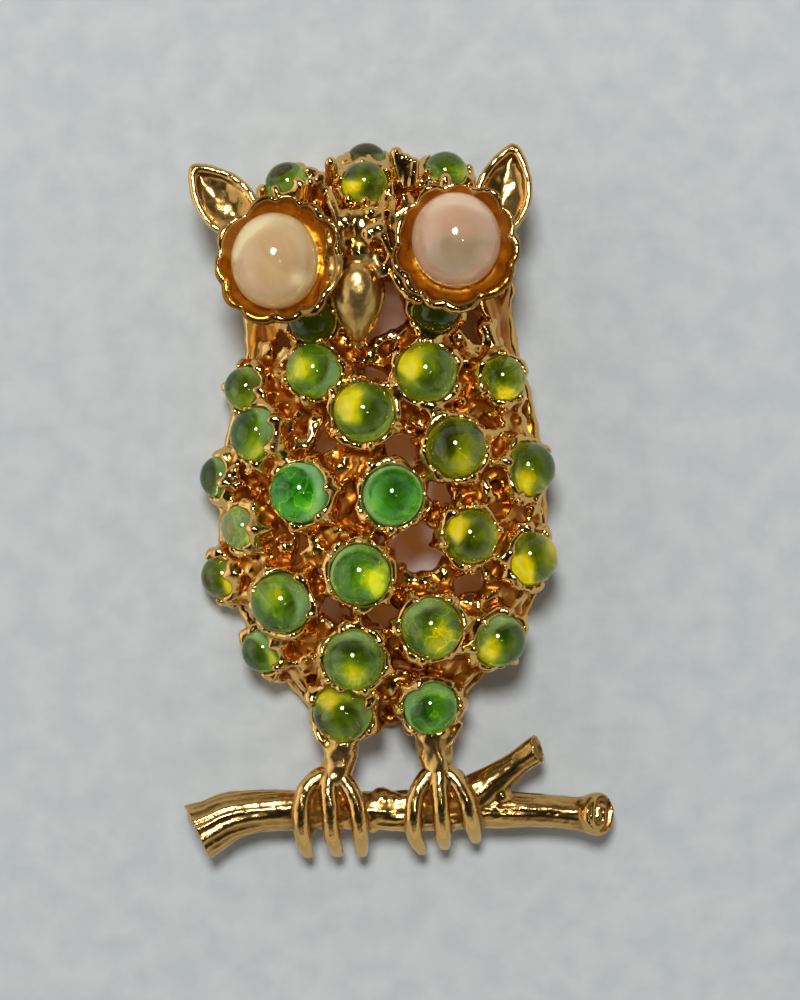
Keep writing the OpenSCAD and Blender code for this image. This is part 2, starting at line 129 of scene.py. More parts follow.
def lathe(seat, across, up, turn):
    """A profile turned round a seat's axis: at each angle of a ring its points lie their distances
    across from the axis and their heights up it, each one number or one for every angle."""
    across, up = (np.stack([np.broadcast_to(row, turn.shape) for row in rows]) for rows in (across, up))
    return skin(seat["at"] + across[..., None] * around(seat, turn) + up[..., None] * seat["w"])


def placed(name, data):
    """A new object in the scene, with a mesh, a light or a camera as its data."""
    thing = bpy.data.objects.new(name, data)
    bpy.context.scene.collection.objects.link(thing)
    return thing


def mesh_of(name, points, faces):
    """A new mesh from arrays of points and triangles."""
    mesh = bpy.data.meshes.new(name)
    mesh.vertices.add(len(points))
    mesh.vertices.foreach_set("co", points.astype(np.float32).ravel())
    mesh.loops.add(faces.size)
    mesh.loops.foreach_set("vertex_index", faces.astype(np.int32).ravel())
    mesh.polygons.add(len(faces))
    mesh.polygons.foreach_set("loop_start", np.arange(0, faces.size, 3, dtype=np.int32))
    mesh.update(calc_edges=True)
    return mesh


def arrays_of(mesh):
    """The points and triangles of a mesh, as arrays."""
    mesh.calc_loop_triangles()
    points = np.empty(len(mesh.vertices) * 3, np.float32)
    mesh.vertices.foreach_get("co", points)
    corners = np.empty(len(mesh.loop_triangles) * 3, np.int32)
    mesh.loop_triangles.foreach_get("vertices", corners)
    return points.reshape(-1, 3).astype(float), corners.reshape(-1, 3)


def piece(name, points, faces, slot, *materials):
    """A finished mesh piece from points in mm, which rides on the brooch and shades smoothly."""
    mesh = mesh_of(name, points * MM, faces)
    mesh.polygons.foreach_set("use_smooth", np.ones(len(faces), bool))
    for material in materials:
        mesh.materials.append(material)
    made = placed(name, mesh)
    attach(made, "root")
    return made


def seat_of(name):
    """Where a stone of the CAD model sits, in mm: the middle of its flat base, its axis with two
    directions across it, its radius and its height. The base is the widest set of faces that look
    the same way."""
    points, corners = arrays_of(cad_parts[name].data)
    points = points / MM
    tri = points[corners]
    cross = np.cross(tri[:, 1] - tri[:, 0], tri[:, 2] - tri[:, 0])
    area = np.linalg.norm(cross, axis=1)
    way = unit(cross)
    same_way = 0.9999
    alike = way @ way.T > same_way
    flat = alike[(alike * area).sum(1).argmax()]
    at = np.average(tri[flat].mean(1), axis=0, weights=area[flat])
    w = -unit(way[flat].mean(0))
    u = unit(np.cross([0, 1, 0] if abs(w[1]) < 0.8 else [1, 0, 0], w))
    return {"at": at, "w": w, "u": u, "v": np.cross(w, u),
            "r": np.linalg.norm(tri[flat].reshape(-1, 3) - at, axis=1).max(),
            "h": ((points - at) @ w).max()}


def parted(points, seat):
    """How far up a seat's axis each point lies, and its way across from the axis."""
    off = points - seat["at"]
    up = off @ seat["w"]
    return up, off - up[:, None] * seat["w"]


def glass_reach(seat, up):
    """How far from its axis a stone's glass reaches at a height: a quarter ellipse over its girdle."""
    girdle = GIRDLE * seat["r"]
    return seat["r"] * np.sqrt(1 - rising(up, girdle, seat["h"] - girdle) ** 2)


def cabochon(seat, rings=26, sides=64, tall=0.0):
    """A drop of glass on a seat: a flat back, a rounded girdle and a dome that is a quarter ellipse,
    a little out of round as fire-polished glass is, or oval up the picture."""
    r, girdle, corner = seat["r"], GIRDLE * seat["r"], 0.12
    edge = np.linspace(-np.pi / 2, 0, 6)
    dome = np.linspace(0, np.pi / 2 - 0.02, rings)
    flat = np.linspace(0.06, 0.9, 14) * r
    across = np.concatenate([flat, r - corner + corner * np.cos(edge), r * np.cos(dome)])
    up = np.concatenate([0 * flat, corner + corner * np.sin(edge),
                         girdle + (seat["h"] - girdle) * np.sin(dome)])
    turn = ring_of(sides)
    a, b = dice.uniform(0, 6.3, 2)
    wave = 1 - 0.008 + 0.008 * np.cos(2 * turn + a) + 0.004 * np.cos(3 * turn + b)
    wave = wave + tall * (0.65 - 0.45 * np.cos(2 * turn))
    return lathe(seat, across[:, None] * wave, up, turn)


def stone_on(name, seat, slot, *materials, **shape):
    """A stone of the CAD model as a drop of glass, whose flat back has the second material. With it
    come its points, their heights up its axis, and their ways across it as shares of its radius."""
    points, faces = cabochon(seat, **shape)
    stone = piece("glass_" + name.removeprefix("stone_"), points, faces, slot, *materials)
    up, flat = parted(points, seat)
    back = np.all(up[faces] < 0.02, axis=1)
    stone.data.polygons.foreach_set("material_index", back.astype(np.int32))
    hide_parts(name)
    return stone, points, up, flat / seat["r"]


def painted(shown, name, values):
    """A value for each point of a piece, or one for all of them, which its material reads by name."""
    field = shown.data.attributes.new(name, "FLOAT", "POINT")
    field.data.foreach_set("value", np.full(len(shown.data.vertices), values, np.float32))


def noise(points, size, seed):
    """A smooth random field from -1 to 1: random values on a cubic lattice of that size in mm,
    blended between its corners by smoothstep."""
    q = points / size + 17.3 * seed
    cell = np.floor(q)
    f = q - cell
    w = f * f * (3 - 2 * f)
    total = np.zeros(len(q))
    for corner in product((0, 1), repeat=3):
        value = np.sin((cell + corner) @ np.array([127.1, 311.7, 74.7])) * 43758.5453
        total += (2 * (value - np.floor(value)) - 1) * np.where(corner, w, 1 - w).prod(1)
    return total


def green_glass(node, place):
    """Clear pressed glass, an ordinary soda glass of IOR 1.52: its green is even, with faint veils, and
    its ground edge is paler and scatters, and is painted paler still where light gathers on it."""
    cool, edge = (node("Attribute", {"attribute_name": name}, out="Fac")
                  for name in ("cool", "edge"))
    veils = node("TexNoise", {}, {"Vector": place, "Scale": 620, "Detail": 4, "Distortion": 1.2})
    warm, green, pale = (
        node("ValToRGB", {"stops": [(0.30, thick), (0.72, thin)]}, {"Fac": veils})
        for thick, thin in (("#B9BA30", "#D2CD4C"), ("#88C852", "#A2D870"), ("#8CCB8E", "#B9E6B4")))
    body_colour = node("Mix", OF_COLOURS, {0: cool, 6: warm, 7: green}, out=2)
    colour = node("Mix", OF_COLOURS, {0: edge, 6: body_colour, 7: pale}, out=2)
    clear = node("Math", TIMES_PLUS, {0: edge, 1: -0.6, 2: 1.0})
    return {"Base Color": colour, "Roughness": 0.03, "IOR": 1.52, "Transmission Weight": clear,
            "Specular IOR Level": 0.32}


def painted_foot_glow(node, place):
    """A painted glow in the foot of a stone, which shines of itself and stands in for the light that the
    dome gathers on the cup behind the glass: yellow in its middle, green around it, with veils and hairline
    flaws across it."""
    glow, cool, crack = (node("Attribute", {"attribute_name": name}, out="Fac")
                         for name in ("glow", "cool", "crack"))
    veils = node("TexNoise", {}, {"Vector": place, "Scale": 900, "Detail": 6, "Distortion": 1.2})
    bent = node("Mix", {"data_type": "VECTOR"},
                {0: 0.001, 4: place, 5: veils.node.outputs["Color"]}, out=1)
    cells = node("TexVoronoi", {"feature": "DISTANCE_TO_EDGE"}, {"Vector": bent, "Scale": 1400})
    facets = node("TexVoronoi", {}, {"Vector": bent, "Scale": 1500}, out="Color")
    facet = node("SeparateXYZ", {}, {"Vector": facets})
    hair = node("MapRange", {}, {"Value": cells, "From Max": 0.06, "To Min": 1.0, "To Max": 0.0})
    faint = node("Math", {"operation": "MULTIPLY"}, {0: hair, 1: crack})
    flaws = node("Math", TIMES_PLUS, {0: faint, 1: veils, 2: glow})
    cloudy = node("Math", TIMES_PLUS, {0: veils, 1: 0.56, 2: flaws})
    patchy = node("Math", TIMES_PLUS, {0: facet, 1: 0.15, 2: cloudy})
    warm, green = (
        node("ValToRGB", {"stops": list(zip((0.30, 0.48, 0.66, 0.84, 1.0), shades))}, {"Fac": patchy})
        for shades in (("#2A3604", "#566608", "#8C9410", "#E4C404", "#FFE622"),
                       ("#26560F", "#3F8A20", "#70B434", "#C8D828", "#FFF03C")))
    colour = node("Mix", OF_COLOURS, {0: cool, 6: warm, 7: green}, out=2)
    return {"Base Color": colour, "Roughness": 0.6, "Emission Color": colour, "Emission Strength": 0.5}


pressed_glass = finish_of("green_pressed_glass", green_glass)
# the foot of each stone: a painted glow that shines of itself, in place of the light its dome gathers
foot_glow_finish = finish_of("painted_glow_under_glass", painted_foot_glow)
GREENS = sorted(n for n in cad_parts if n.startswith("stone_"))
seats = {name: seat_of(name) for name in GREENS}
LOOKS = {
    # side of the painted bright patch of light in degrees from the right, its strength, and how cool the
    # green is
    "crown_1": (230, 0.35, 0.25), "crown_2": (180, 0.15, 0.15), "crown_3": (160, 0.90, 0.05),
    "crown_4": (190, 0.80, 0.20), "neck_1": (0, 0.0, 0.0), "neck_2": (0, 0.0, 0.0),
    "shoulder_1": (250, 0.15, 0.10), "shoulder_2": (150, 0.60, 0.25), "shoulder_3": (145, 0.90, 0.12),
    "shoulder_4": (280, 0.60, 0.05), "chest_1": (200, 0.40, 0.25), "chest_2": (140, 0.95, 0.15),
    "chest_3": (310, 0.30, 0.00), "middle_1": (270, 0.15, 0.40), "middle_2": (300, 0.30, 1.00),
    "middle_3": (200, 0.10, 0.90), "middle_4": (290, 0.80, 0.05), "waist_1": (270, 1.00, 0.00),
    "waist_2": (215, 1.00, 0.05), "waist_3": (335, 0.90, 0.50), "waist_4": (145, 0.95, 0.00),
    "waist_5": (235, 1.60, 0.00), "belly_1": (170, 0.35, 0.30), "belly_2": (240, 0.65, 0.25),
    "belly_3": (265, 0.35, 0.20), "belly_4": (300, 0.50, 0.15), "belly_5": (270, 0.85, 0.15),
    "hip_1": (150, 0.85, 0.10), "hip_2": (30, 0.25, 0.60)}
CRACKED = {"shoulder_4": 0.25, "middle_2": 0.38, "waist_3": 0.15, "waist_1": 0.3, "belly_3": 0.15,
           "belly_4": 0.26, "hip_2": 0.25}
# a stone painted pale and milky all over, standing in for the light seen through its side
PAINTED_PALE = "waist_1"
for name in GREENS:
    seat, short = seats[name], name.removeprefix("stone_")
    stone, points, up, off = stone_on(name, seat, "green_glass", pressed_glass, foot_glow_finish)
    side, strength, cool = LOOKS[short]
    way = np.array([np.cos(np.radians(side)), np.sin(np.radians(side)), 0])
    way = unit(way - (way @ seat["w"]) * seat["w"])
    rim, across_from = np.linalg.norm(off, axis=1), np.clip(-off @ way, 0, 1)
    # distances are shares of the stone's radius: the painted patch of light, the painted dark core of shade,
    # and the painted light across from it
    patch_at, patch_size, patch_edge = 0.36, 0.17 + 0.13 * strength, 0.07
    ragged = 1 + 0.45 * noise(points, 0.5, 11)
    reach = np.linalg.norm(off - patch_at * way, axis=1) * ragged
    near = 1 / (1 + np.exp((reach - patch_size) / patch_edge))
    core = np.exp(-(np.linalg.norm(off + 0.12 * way, axis=1) / 0.26) ** 2)
    far = np.exp(-((rim - 0.74) / 0.17) ** 2) * across_from
    glow = 0.08 + (0.20 + 0.45 * strength) * near + (0.4 + 0.3 * strength) * far - 0.14 * core
    # stones with no patch are painted darker, as shade under the eye dishes
    painted(stone, "glow", glow - 0.35 * (strength == 0))
    painted(stone, "cool", cool)
    painted(stone, "crack", CRACKED.get(short, 0.02))
    # the ground edge shows round the girdle, paler partly as its own finish and partly as painted light, most
    # of all across from the patch of a cool stone; one stone is painted pale all over for the light seen
    # through its side
    ground = (up > 0.02) * rising(rim, 0.81, 0.09) * (strength > 0)
    mint = 0.04 + 0.8 * cool + 0.62 * (cool >= 0.1) * across_from ** 2
    painted(stone, "edge", np.clip(mint * ground + 0.5 * (short == PAINTED_PALE), 0, 1))

# The body of the owl: one cast shell with the rest of the metal, from a wax in which strands and
# crumpled webs join the cups. It is plated with bright gold, so the high places are mirrors and the
# hollows, where gold lights gold, are painted deep orange as shade and bounce light. The same dome shapes the
# head.
SECTIONS = np.array([
    # level: 0 hips, 1 neck, 2 crown; half widths left and right and depth as shares
    [0.00, 0.40, 0.40, 0.56], [0.06, 0.48, 0.47, 0.68], [0.13, 0.62, 0.64, 0.80],
    [0.20, 0.74, 0.79, 0.88], [0.32, 0.88, 0.95, 0.95], [0.46, 0.97, 1.02, 1.00],
    [0.61, 0.97, 1.02, 1.00], [0.72, 0.93, 1.00, 0.98], [0.82, 0.85, 0.97, 0.94],
    [0.91, 0.78, 0.92, 0.88], [1.00, 0.74, 0.88, 0.80], [1.21, 0.88, 1.04, 0.88],
    [1.46, 0.90, 1.06, 0.95], [1.71, 0.84, 0.98, 0.97], [1.83, 0.76, 0.88, 0.88],
    [1.94, 0.66, 0.76, 0.58], [2.00, 0.58, 0.68, 0.14]])
BODY_L, BODY_W, BODY_D = 27, 23.2, 8.2
HEAD_L, HEAD_W, HEAD_D = 12, 20, 7.6
OWL_X, HIP_Y = -0.4, -15.65
BEZEL = 0.44
SINK = 1.15
CLAWS = 6
on_body = SECTIONS[:, 0] <= 1
LEFT, RIGHT = SECTIONS[:, 1:3].T * np.where(on_body, BODY_W, HEAD_W) / 2
DEPTH = SECTIONS[:, 3] * np.where(on_body, BODY_D, HEAD_D)


def level_y(level):
    """How far up the owl a level lies."""
    return HIP_Y + BODY_L * np.minimum(level, 1) + HEAD_L * np.maximum(level - 1, 0)


def half_at(side, level):
    """The dome's half width at a level: the left one where the side is negative, or the right."""
    return np.where(side < 0, *(np.interp(level, SECTIONS[:, 0], half) for half in (LEFT, RIGHT)))


def dome(across, level):
    """A point of the owl's dome: across is a share of the half width, and the height over the back
    falls off to the flanks as a superellipse of power 2.2 on the left and 2.8 on the right."""
    across, level = np.broadcast_arrays(np.asarray(across, float), np.asarray(level, float))
    u, power = np.clip(across, -1, 1), np.where(across < 0, 2.2, 2.8)
    high = np.interp(level, SECTIONS[:, 0], DEPTH) * np.maximum(1 - np.abs(u) ** power, 0) ** (1 / power)
    return np.stack([u * half_at(across, level) + OWL_X, level_y(level), high], -1)


def dome_out(across, level):
    """The dome's outward direction, from its slopes over a small step either way."""
    e = 0.02
    a, l = np.clip(across, e - 1, 1 - e), np.clip(level, e, 2 - e)
    return unit(np.cross(dome(a + e, l) - dome(a - e, l), dome(a, l + e) - dome(a, l - e)))


def sunk_at(place, sink):
    """Points at one depth in mm under places of the dome, each a share across and a level."""
    across, level = place[..., 0], place[..., 1]
    return dome(across, level) - sink * dome_out(across, level)


def share_of(points):
    """Where points over the dome lie, each as its share across and its level."""
    x, y = points[..., 0] - OWL_X, points[..., 1] - HIP_Y
    level = np.where(y <= BODY_L, y / BODY_L, 1 + (y - BODY_L) / HEAD_L)
    return np.stack([x / half_at(x, level), level], -1)


def flowing(points, count):
    """A smooth line through a few points, as Catmull and Rom draw it: each stretch is the cubic that
    leaves and meets its points along the chord of their neighbours."""
    p = np.asarray(points, float)
    p = np.concatenate([2 * p[:1] - p[1:2], p, 2 * p[-1:] - p[-2:-1]])
    t = np.linspace(0, len(p) - 3, count)
    i = np.minimum(t.astype(int), len(p) - 4)
    f = (t - i)[:, None]
    a, b, c, d = p[i], p[i + 1], p[i + 2], p[i + 3]
    return (2 * b + (c - a) * f + (2 * a - 5 * b + 4 * c - d) * f ** 2 + (3 * b - a - 3 * c + d) * f ** 3) / 2


def tube(path, radius, sides=14, flat=1.0, square=1.0, guide=None):
    """A bar carried along a path, with its radius at each point and rounded ends: across it lies a
    superellipse, squarer the smaller its power, and flattened along the second direction."""
    path = np.asarray(path, float)
    radius = np.broadcast_to(np.asarray(radius, float), len(path))
    along = unit(np.gradient(path, axis=0))
    bend = np.radians([82, 60, 38, 18])
    first = path[0] - along[0] * radius[0] * np.sin(bend)[:, None]
    last = path[-1] + along[-1] * radius[-1] * np.sin(bend[::-1])[:, None]
    radius = np.concatenate([radius[0] * np.cos(bend), radius, radius[-1] * np.cos(bend[::-1])])
    along = np.concatenate([np.repeat(along[:1], 4, 0), along, np.repeat(along[-1:], 4, 0)])
    if guide is None:
        guide = np.eye(3)[np.abs(path[-1] - path[0]).argmin()]
    side = unit(np.cross(guide, along))
    up = np.cross(along, side)
    turn = ring_of(sides)[None, :, None]
    a, b = (np.sign(f) * np.abs(f) ** square for f in (np.cos(turn), np.sin(turn)))
    ring = radius[:, None, None] * (a * side[:, None] + flat * b * up[:, None])
    return skin(np.concatenate([first, path, last])[:, None] + ring)


def sinew(path, thick, strands=2):
    """A strand of the wax: a bar that swells and thins, with finer ones twisting along it. Their
    distance from its middle is a share of its radius."""
    spread = 0.62
    t = np.linspace(0, 1, len(path))
    side = unit(np.cross(np.gradient(path, axis=0), [0.3, 0.2, 1]))
    up = unit(np.cross(side, np.gradient(path, axis=0)))
    sway = 0.13 * np.sin(2 * np.pi * (dice.uniform(0.8, 1.6) * t + dice.uniform()))[:, None]
    path = path + sway * side
    beat = 0.1 * np.sin(2 * np.pi * (2.3 * t + dice.uniform()))
    swell = thick * (0.84 + 0.42 * np.abs(2 * t - 1) ** 2 + beat)
    parts = [tube(path, swell)]
    for _ in range(strands):
        turn = 2 * np.pi * (dice.uniform() + dice.choice([-1, 1]) * dice.uniform(0.3, 0.7) * t)
        off = spread * (np.cos(turn)[:, None] * side + (0.3 + np.abs(np.sin(turn)))[:, None] * up * 0.9)
        fine = thick * dice.uniform(0.38, 0.52) * (1 + 0.25 * np.sin(2 * np.pi * (3 * t + dice.uniform())))
        parts.append(tube(path + swell[:, None] * off, fine, 10))
    return parts


def sheet_between(outer, inner):
    """A closed shell between two grids of points: both faces, and a strip round their border."""
    m, n = outer.shape[:2]
    o = np.arange(m * n).reshape(m, n)
    a, b, c, d = (o[:-1, :-1].ravel(), o[1:, :-1].ravel(), o[1:, 1:].ravel(), o[:-1, 1:].ravel())
    face = np.concatenate([np.stack([a, b, c], 1), np.stack([a, c, d], 1)])
    edge = np.concatenate([o[0, :-1], o[:-1, -1], o[-1, :0:-1], o[:0:-1, 0]])
    on = np.roll(edge, -1)
    strip = np.concatenate([np.stack([edge, on, on + m * n], 1),
                            np.stack([edge, on + m * n, edge + m * n], 1)])
    points = np.concatenate([outer.reshape(-1, 3), inner.reshape(-1, 3)])
    return outward(points, np.concatenate([face, face[:, ::-1] + m * n, strip]))


def grains(at, low, high):
    """Small lumps of metal: a ball at each place, of a size between two and a little out of round."""
    up = np.linspace(-0.95, 0.95, 7)
    upright = {"at": np.zeros(3), "u": np.eye(3)[0], "v": np.eye(3)[1], "w": np.eye(3)[2]}
    ball, faces = lathe(upright, np.sqrt(1 - up ** 2), up, ring_of(10))
    radius = dice.uniform(low, high, len(at))
    stretch = dice.uniform(0.8, 1.25, (len(at), 1, 3)) * radius[:, None, None]
    points = at[:, None] + stretch * ball
    step = (np.arange(len(at)) * len(ball))[:, None, None]
    return points.reshape(-1, 3), (faces[None] + step).reshape(-1, 3)


def heap(middle, reach, count, low, high):
    """Grains strewn in a box, by its middle and its reach each way."""
    return grains(np.array(middle) + dice.uniform(-1, 1, (count, 3)) * reach, low, high)


def together(parts):
    """Several skins as one set of points and faces."""
    starts = np.cumsum([0] + [len(p) for p, _ in parts[:-1]])
    return (np.concatenate([p for p, _ in parts]),
            np.concatenate([f + start for (_, f), start in zip(parts, starts)]))


def worked(points, faces, kind, **settings):
    """Points and faces, in mm, after one modifier has worked on them."""
    mesh = mesh_of("work", points, faces)
    thing = placed("work", mesh)
    modifier = thing.modifiers.new("work", kind)
    for key, value in settings.items():
        setattr(modifier, key, value)
    done = arrays_of(thing.evaluated_get(bpy.context.evaluated_depsgraph_get()).to_mesh())
    bpy.data.objects.remove(thing)
    bpy.data.meshes.remove(mesh)
    return done


def relaxed(points, faces, rounds):
    """Each point moved half the way to the middle of its neighbours, some rounds over."""
    n = len(points)
    ends = np.sort(np.concatenate([faces[:, [0, 1]], faces[:, [1, 2]], faces[:, [2, 0]]]), axis=1)
    keys = np.unique(ends[:, 0].astype(np.int64) * n + ends[:, 1])
    a, b = keys // n, keys % n
    count = np.bincount(a, minlength=n) + np.bincount(b, minlength=n)
    for _ in range(rounds):
        mean = np.stack([np.bincount(a, points[b, k], n) + np.bincount(b, points[a, k], n)
                         for k in range(3)], 1) / count[:, None]
        points = points + 0.5 * (mean - points)
    return points


def out_of(points, faces):
    """Each point's outward direction: the sum of its faces' own, by their areas."""
    a, b, c = (points[faces[:, k]] for k in range(3))
    normal = np.cross(b - a, c - a)
    total = np.stack([sum(np.bincount(faces[:, k], normal[:, j], len(points)) for k in range(3))
                      for j in range(3)], 1)
    return unit(total)


def crumpled(points, faces, coarse, fine):
    """The worked wax surface: two sizes of lumps, in mm high, pushed out and in."""
    out = out_of(points, faces)
    lift = coarse * noise(points, 0.85, 1) + fine * noise(points, 0.38, 2)
    return points + lift[:, None] * out


def hollows(points, faces):
    """How deep in a hollow each point lies, from 0 on a ridge to 1 in a cleft: how far the surface
    smoothed over about half a millimetre stands above it."""
    lift = np.einsum("ij,ij->i", relaxed(points, faces, 24) - points, out_of(points, faces))
    level_share, deepest = 0.2, 0.12
    return np.clip(level_share + lift / deepest, 0, 1)


def cast(parts, voxel, coarse, fine, most):
    """One fused casting from overlapping skins: a fine voxel skin round them all, relaxed as a
    tumbled surface is, crumpled, thinned to the most faces it may have, and kept above the table."""
    points, faces = worked(*together(parts), "REMESH", mode="VOXEL", voxel_size=voxel)
    points = relaxed(points, faces, 3)
    points = relaxed(crumpled(points, faces, coarse, fine), faces, 1)
    if len(faces) > most:
        points, faces = worked(points, faces, "DECIMATE", ratio=most / len(faces))
    points[:, 2] = np.maximum(points[:, 2], 0)
    return points, faces


def clear_seats(points):
    """Nothing of the casting stands inside a stone: near a stone's edge it is pushed out to the
    glass, so that claws lie on it, and further in it is pressed down to the seat."""
    side_gap, seat_gap = 0.02, 0.06
    for seat in list(seats.values()) + list(eyes.values()):
        up, flat = parted(points, seat)
        out = np.linalg.norm(flat, axis=1)
        wide = glass_reach(seat, up) + side_gap
        inside = (out < wide) & (up > -seat_gap) & (up < seat["h"])
        near = inside & (out > 0.72 * seat["r"]) & (up > 0.1)
        points[near] += ((wide / np.maximum(out, 0.1) - 1)[:, None] * flat)[near]
        inside &= ~near
        points[inside] -= (up[inside] + seat_gap)[:, None] * seat["w"]
    return points


eyes = {name: seat_of(name) for name in ("eye_left", "eye_right")}
where = {name.removeprefix("stone_"): share_of(seat["at"]) for name, seat in seats.items()}
KNOTS = {
    # where strands cross between the stones: share across and level
    "beak_knot": (-0.06, 0.96), "flank_knot": (-0.38, 0.46), "waist_knot": (0.33, 0.364),
    "belly_knot": (0.775, 0.332)}
where.update({name: np.array(at) for name, at in KNOTS.items()})
# each strand runs from the first name of its row to one of the others
STRUTS = """neck_1 shoulder_1 shoulder_2, neck_2 shoulder_3 shoulder_4, shoulder_1 shoulder_2 chest_1,
    shoulder_2 beak_knot chest_2 middle_2, shoulder_3 beak_knot chest_2 chest_3 shoulder_4,
    shoulder_4 chest_3 middle_4, chest_1 middle_1, chest_2 middle_2 middle_3,
    chest_3 middle_3 middle_4 waist_4, middle_1 waist_2, middle_3 waist_3 waist_4,
    middle_4 waist_4 waist_5, waist_2 belly_2, waist_3 middle_2 belly_1 belly_3 belly_4,
    waist_4 waist_5 belly_4, waist_5 belly_5, flank_knot middle_2 belly_1,
    belly_3 belly_1 belly_4 hip_2, belly_4 belly_5 hip_2, hip_1 belly_2 hip_2, hip_2 belly_5,
    waist_knot waist_3 waist_4 belly_4, belly_knot waist_4 waist_5 belly_4 belly_5, middle_4 shoulder_4"""
# the triangles of three cups or knots that a web closes
WEBS = """shoulder_1 shoulder_2 chest_1, shoulder_2 chest_1 middle_2, shoulder_3 chest_2 chest_3,
    chest_1 middle_1 waist_1, chest_1 middle_2 waist_1, chest_2 middle_2 middle_3,
    middle_1 waist_1 waist_2, middle_2 middle_3 waist_3, middle_4 waist_4 waist_5,
    middle_2 waist_1 belly_1, waist_1 waist_2 belly_1, waist_2 belly_1 belly_2,
    belly_1 belly_2 hip_1, belly_1 belly_3 hip_1, belly_3 hip_1 hip_2, belly_4 belly_5 hip_2,
    shoulder_3 shoulder_4 chest_3, shoulder_4 chest_3 middle_4, belly_4 belly_5 belly_knot,
    beak_knot shoulder_2 neck_1, beak_knot shoulder_3 neck_2, neck_1 shoulder_1 shoulder_2,
    neck_2 shoulder_3 shoulder_4, chest_3 waist_4 middle_4"""
# the levels at which strands run out from a cup to the rim
RIBS = {"neck_1": [1.14], "shoulder_1": [0.92], "chest_1": [0.79], "middle_1": [0.65], "waist_1": [0.51],
        "waist_2": [0.39], "belly_2": [0.24], "hip_1": [0.07], "hip_2": [0.07], "belly_5": [0.17, 0.27],
        "waist_5": [0.41], "middle_4": [0.55, 0.69], "shoulder_4": [0.87]}


def across_dome(start, end):
    """A line from one place to another that keeps its depth under the dome."""
    place = start + (end - start) * np.linspace(0.06, 0.94, 16)[:, None]
    return sunk_at(place, SINK)


def web(corners, sink):
    """A crumpled web that fills a triangle under the dome: a shell from one corner, which fans out to
    the line between the other two, lumpy on both sides."""
    a, b, c = (where[name] for name in corners)
    half, steps = 0.55, 22
    s, t = np.meshgrid(np.linspace(0.02, 0.98, steps), np.linspace(0, 1, steps), indexing="ij")
    place = a + s[..., None] * ((1 - t)[..., None] * (b - a) + t[..., None] * (c - a))
    flat = place.reshape(-1, 2)
    mid, out = sunk_at(flat, sink), dome_out(flat[:, 0], flat[:, 1])
    lump = 0.34 * noise(mid, 1.3, 3) + 0.22 * noise(mid, 0.7, 4)
    top, bottom = mid + (half + lump)[:, None] * out, mid - (half - 0.5 * lump)[:, None] * out
    return sheet_between(*(side.reshape(steps, steps, 3) for side in (top, bottom)))


def ripple(turn, times, high):
    """A wave so many times round a ring and so high, from a random start."""
    return high * np.sin(times * turn + dice.uniform(0, 6))


def cup(seat):
    """A stone's cup: a fluted cone under its seat, and round the girdle a lip that rises and swells
    where the claws stand."""
    r, turn = seat["r"], ring_of(60)
    start = dice.uniform(0, 2 * np.pi)
    lobe = 0.5 + 0.5 * np.cos(CLAWS * turn + start)
    ragged = ripple(turn, 3, 0.07) + ripple(turn, 8, 0.05)
    lip = (0.20 + 0.30 * (1 - seat["w"][2])) * r + 0.06 + 0.2 * lobe + ragged
    wall = r + BEZEL + 0.24 * lobe + ragged
    across = [0.3 * r, 0.62 * r + 0.1 * lobe, 0.9 * r + 0.2 * lobe, wall - 0.12, wall, wall - 0.06,
              r + 0.2, r + 0.02, r, 0.1]
    up = [-2.0, -1.75, -1.1, -0.5, 0.05, lip - 0.14, lip, lip - 0.1, -0.04, -0.04]
    return lathe(seat, across, up, turn), start


def claws(seat, start):
    """The claws pressed over a stone's edge: one stout bent bead on each lobe, and small grains of
    metal round the cup between and below them. They stand higher on a cup that faces sideways."""
    parts = []
    r, high = seat["r"], 0.26 + 0.35 * (1 - seat["w"][2])
    for k in range(CLAWS):
        angle = -(start - 2 * np.pi * k) / CLAWS + dice.uniform(-0.2, 0.2)
        out = around(seat, angle)
        rise, size = high * r + dice.uniform(0.0, 0.22), dice.uniform(0.27, 0.40)
        bends = ((r + 0.62, -0.6), (r + 0.46, rise - 0.4), (glass_reach(seat, rise) + 0.2, rise))
        path = [seat["at"] + reach * out + up * seat["w"] for reach, up in bends]
        parts.append(tube(flowing(path, 9), size, 10))
    few = 15
    out = around(seat, dice.uniform(0, 2 * np.pi, few))
    down = dice.uniform(-1.1, 0.2, (few, 1))
    reach = r + 0.5 + 0.25 * down + dice.uniform(-0.1, 0.2, (few, 1))
    at = seat["at"] + out * reach + down * seat["w"]
    parts.append(grains(at, 0.24, 0.40))
    return parts


def block(low, high):
    """A plain bar between two corners."""
    (a, b, c), (d, e, f) = low, high
    return skin(np.array([[[x, b, c], [x, e, c], [x, e, f], [x, b, f]] for x in np.linspace(a, d, 3)]))


body = []
for row in STRUTS.split(","):
    first, *others = row.split()
    for other in others:
        body += sinew(across_dome(where[first], where[other]), 0.66, 3)
        t = dice.uniform(0.1, 0.9, 9)[:, None]
        place = where[first] + (where[other] - where[first]) * t + dice.uniform(-0.035, 0.035, (9, 2))
        body.append(grains(sunk_at(place, SINK - 0.45), 0.22, 0.46))
for row in WEBS.split(","):
    corners = row.split()
    deeper = 0.5 * any("neck" in name or name == "chest_3" for name in corners)
    body.append(web(corners, SINK + deeper))
    place = dice.dirichlet([2.0, 2.0, 2.0], 14) @ np.array([where[name] for name in corners])
    body.append(grains(sunk_at(place, SINK - 0.6), 0.25, 0.5))
for name, levels in RIBS.items():
    for level in levels:
        path = across_dome(where[name], np.array([np.sign(where[name][0]), level]))
        path = np.concatenate([path, path[-1:] * [1, 1, 0] + [0, 0, 0.6]])
        body += sinew(flowing(path, 18), 0.62, 3)
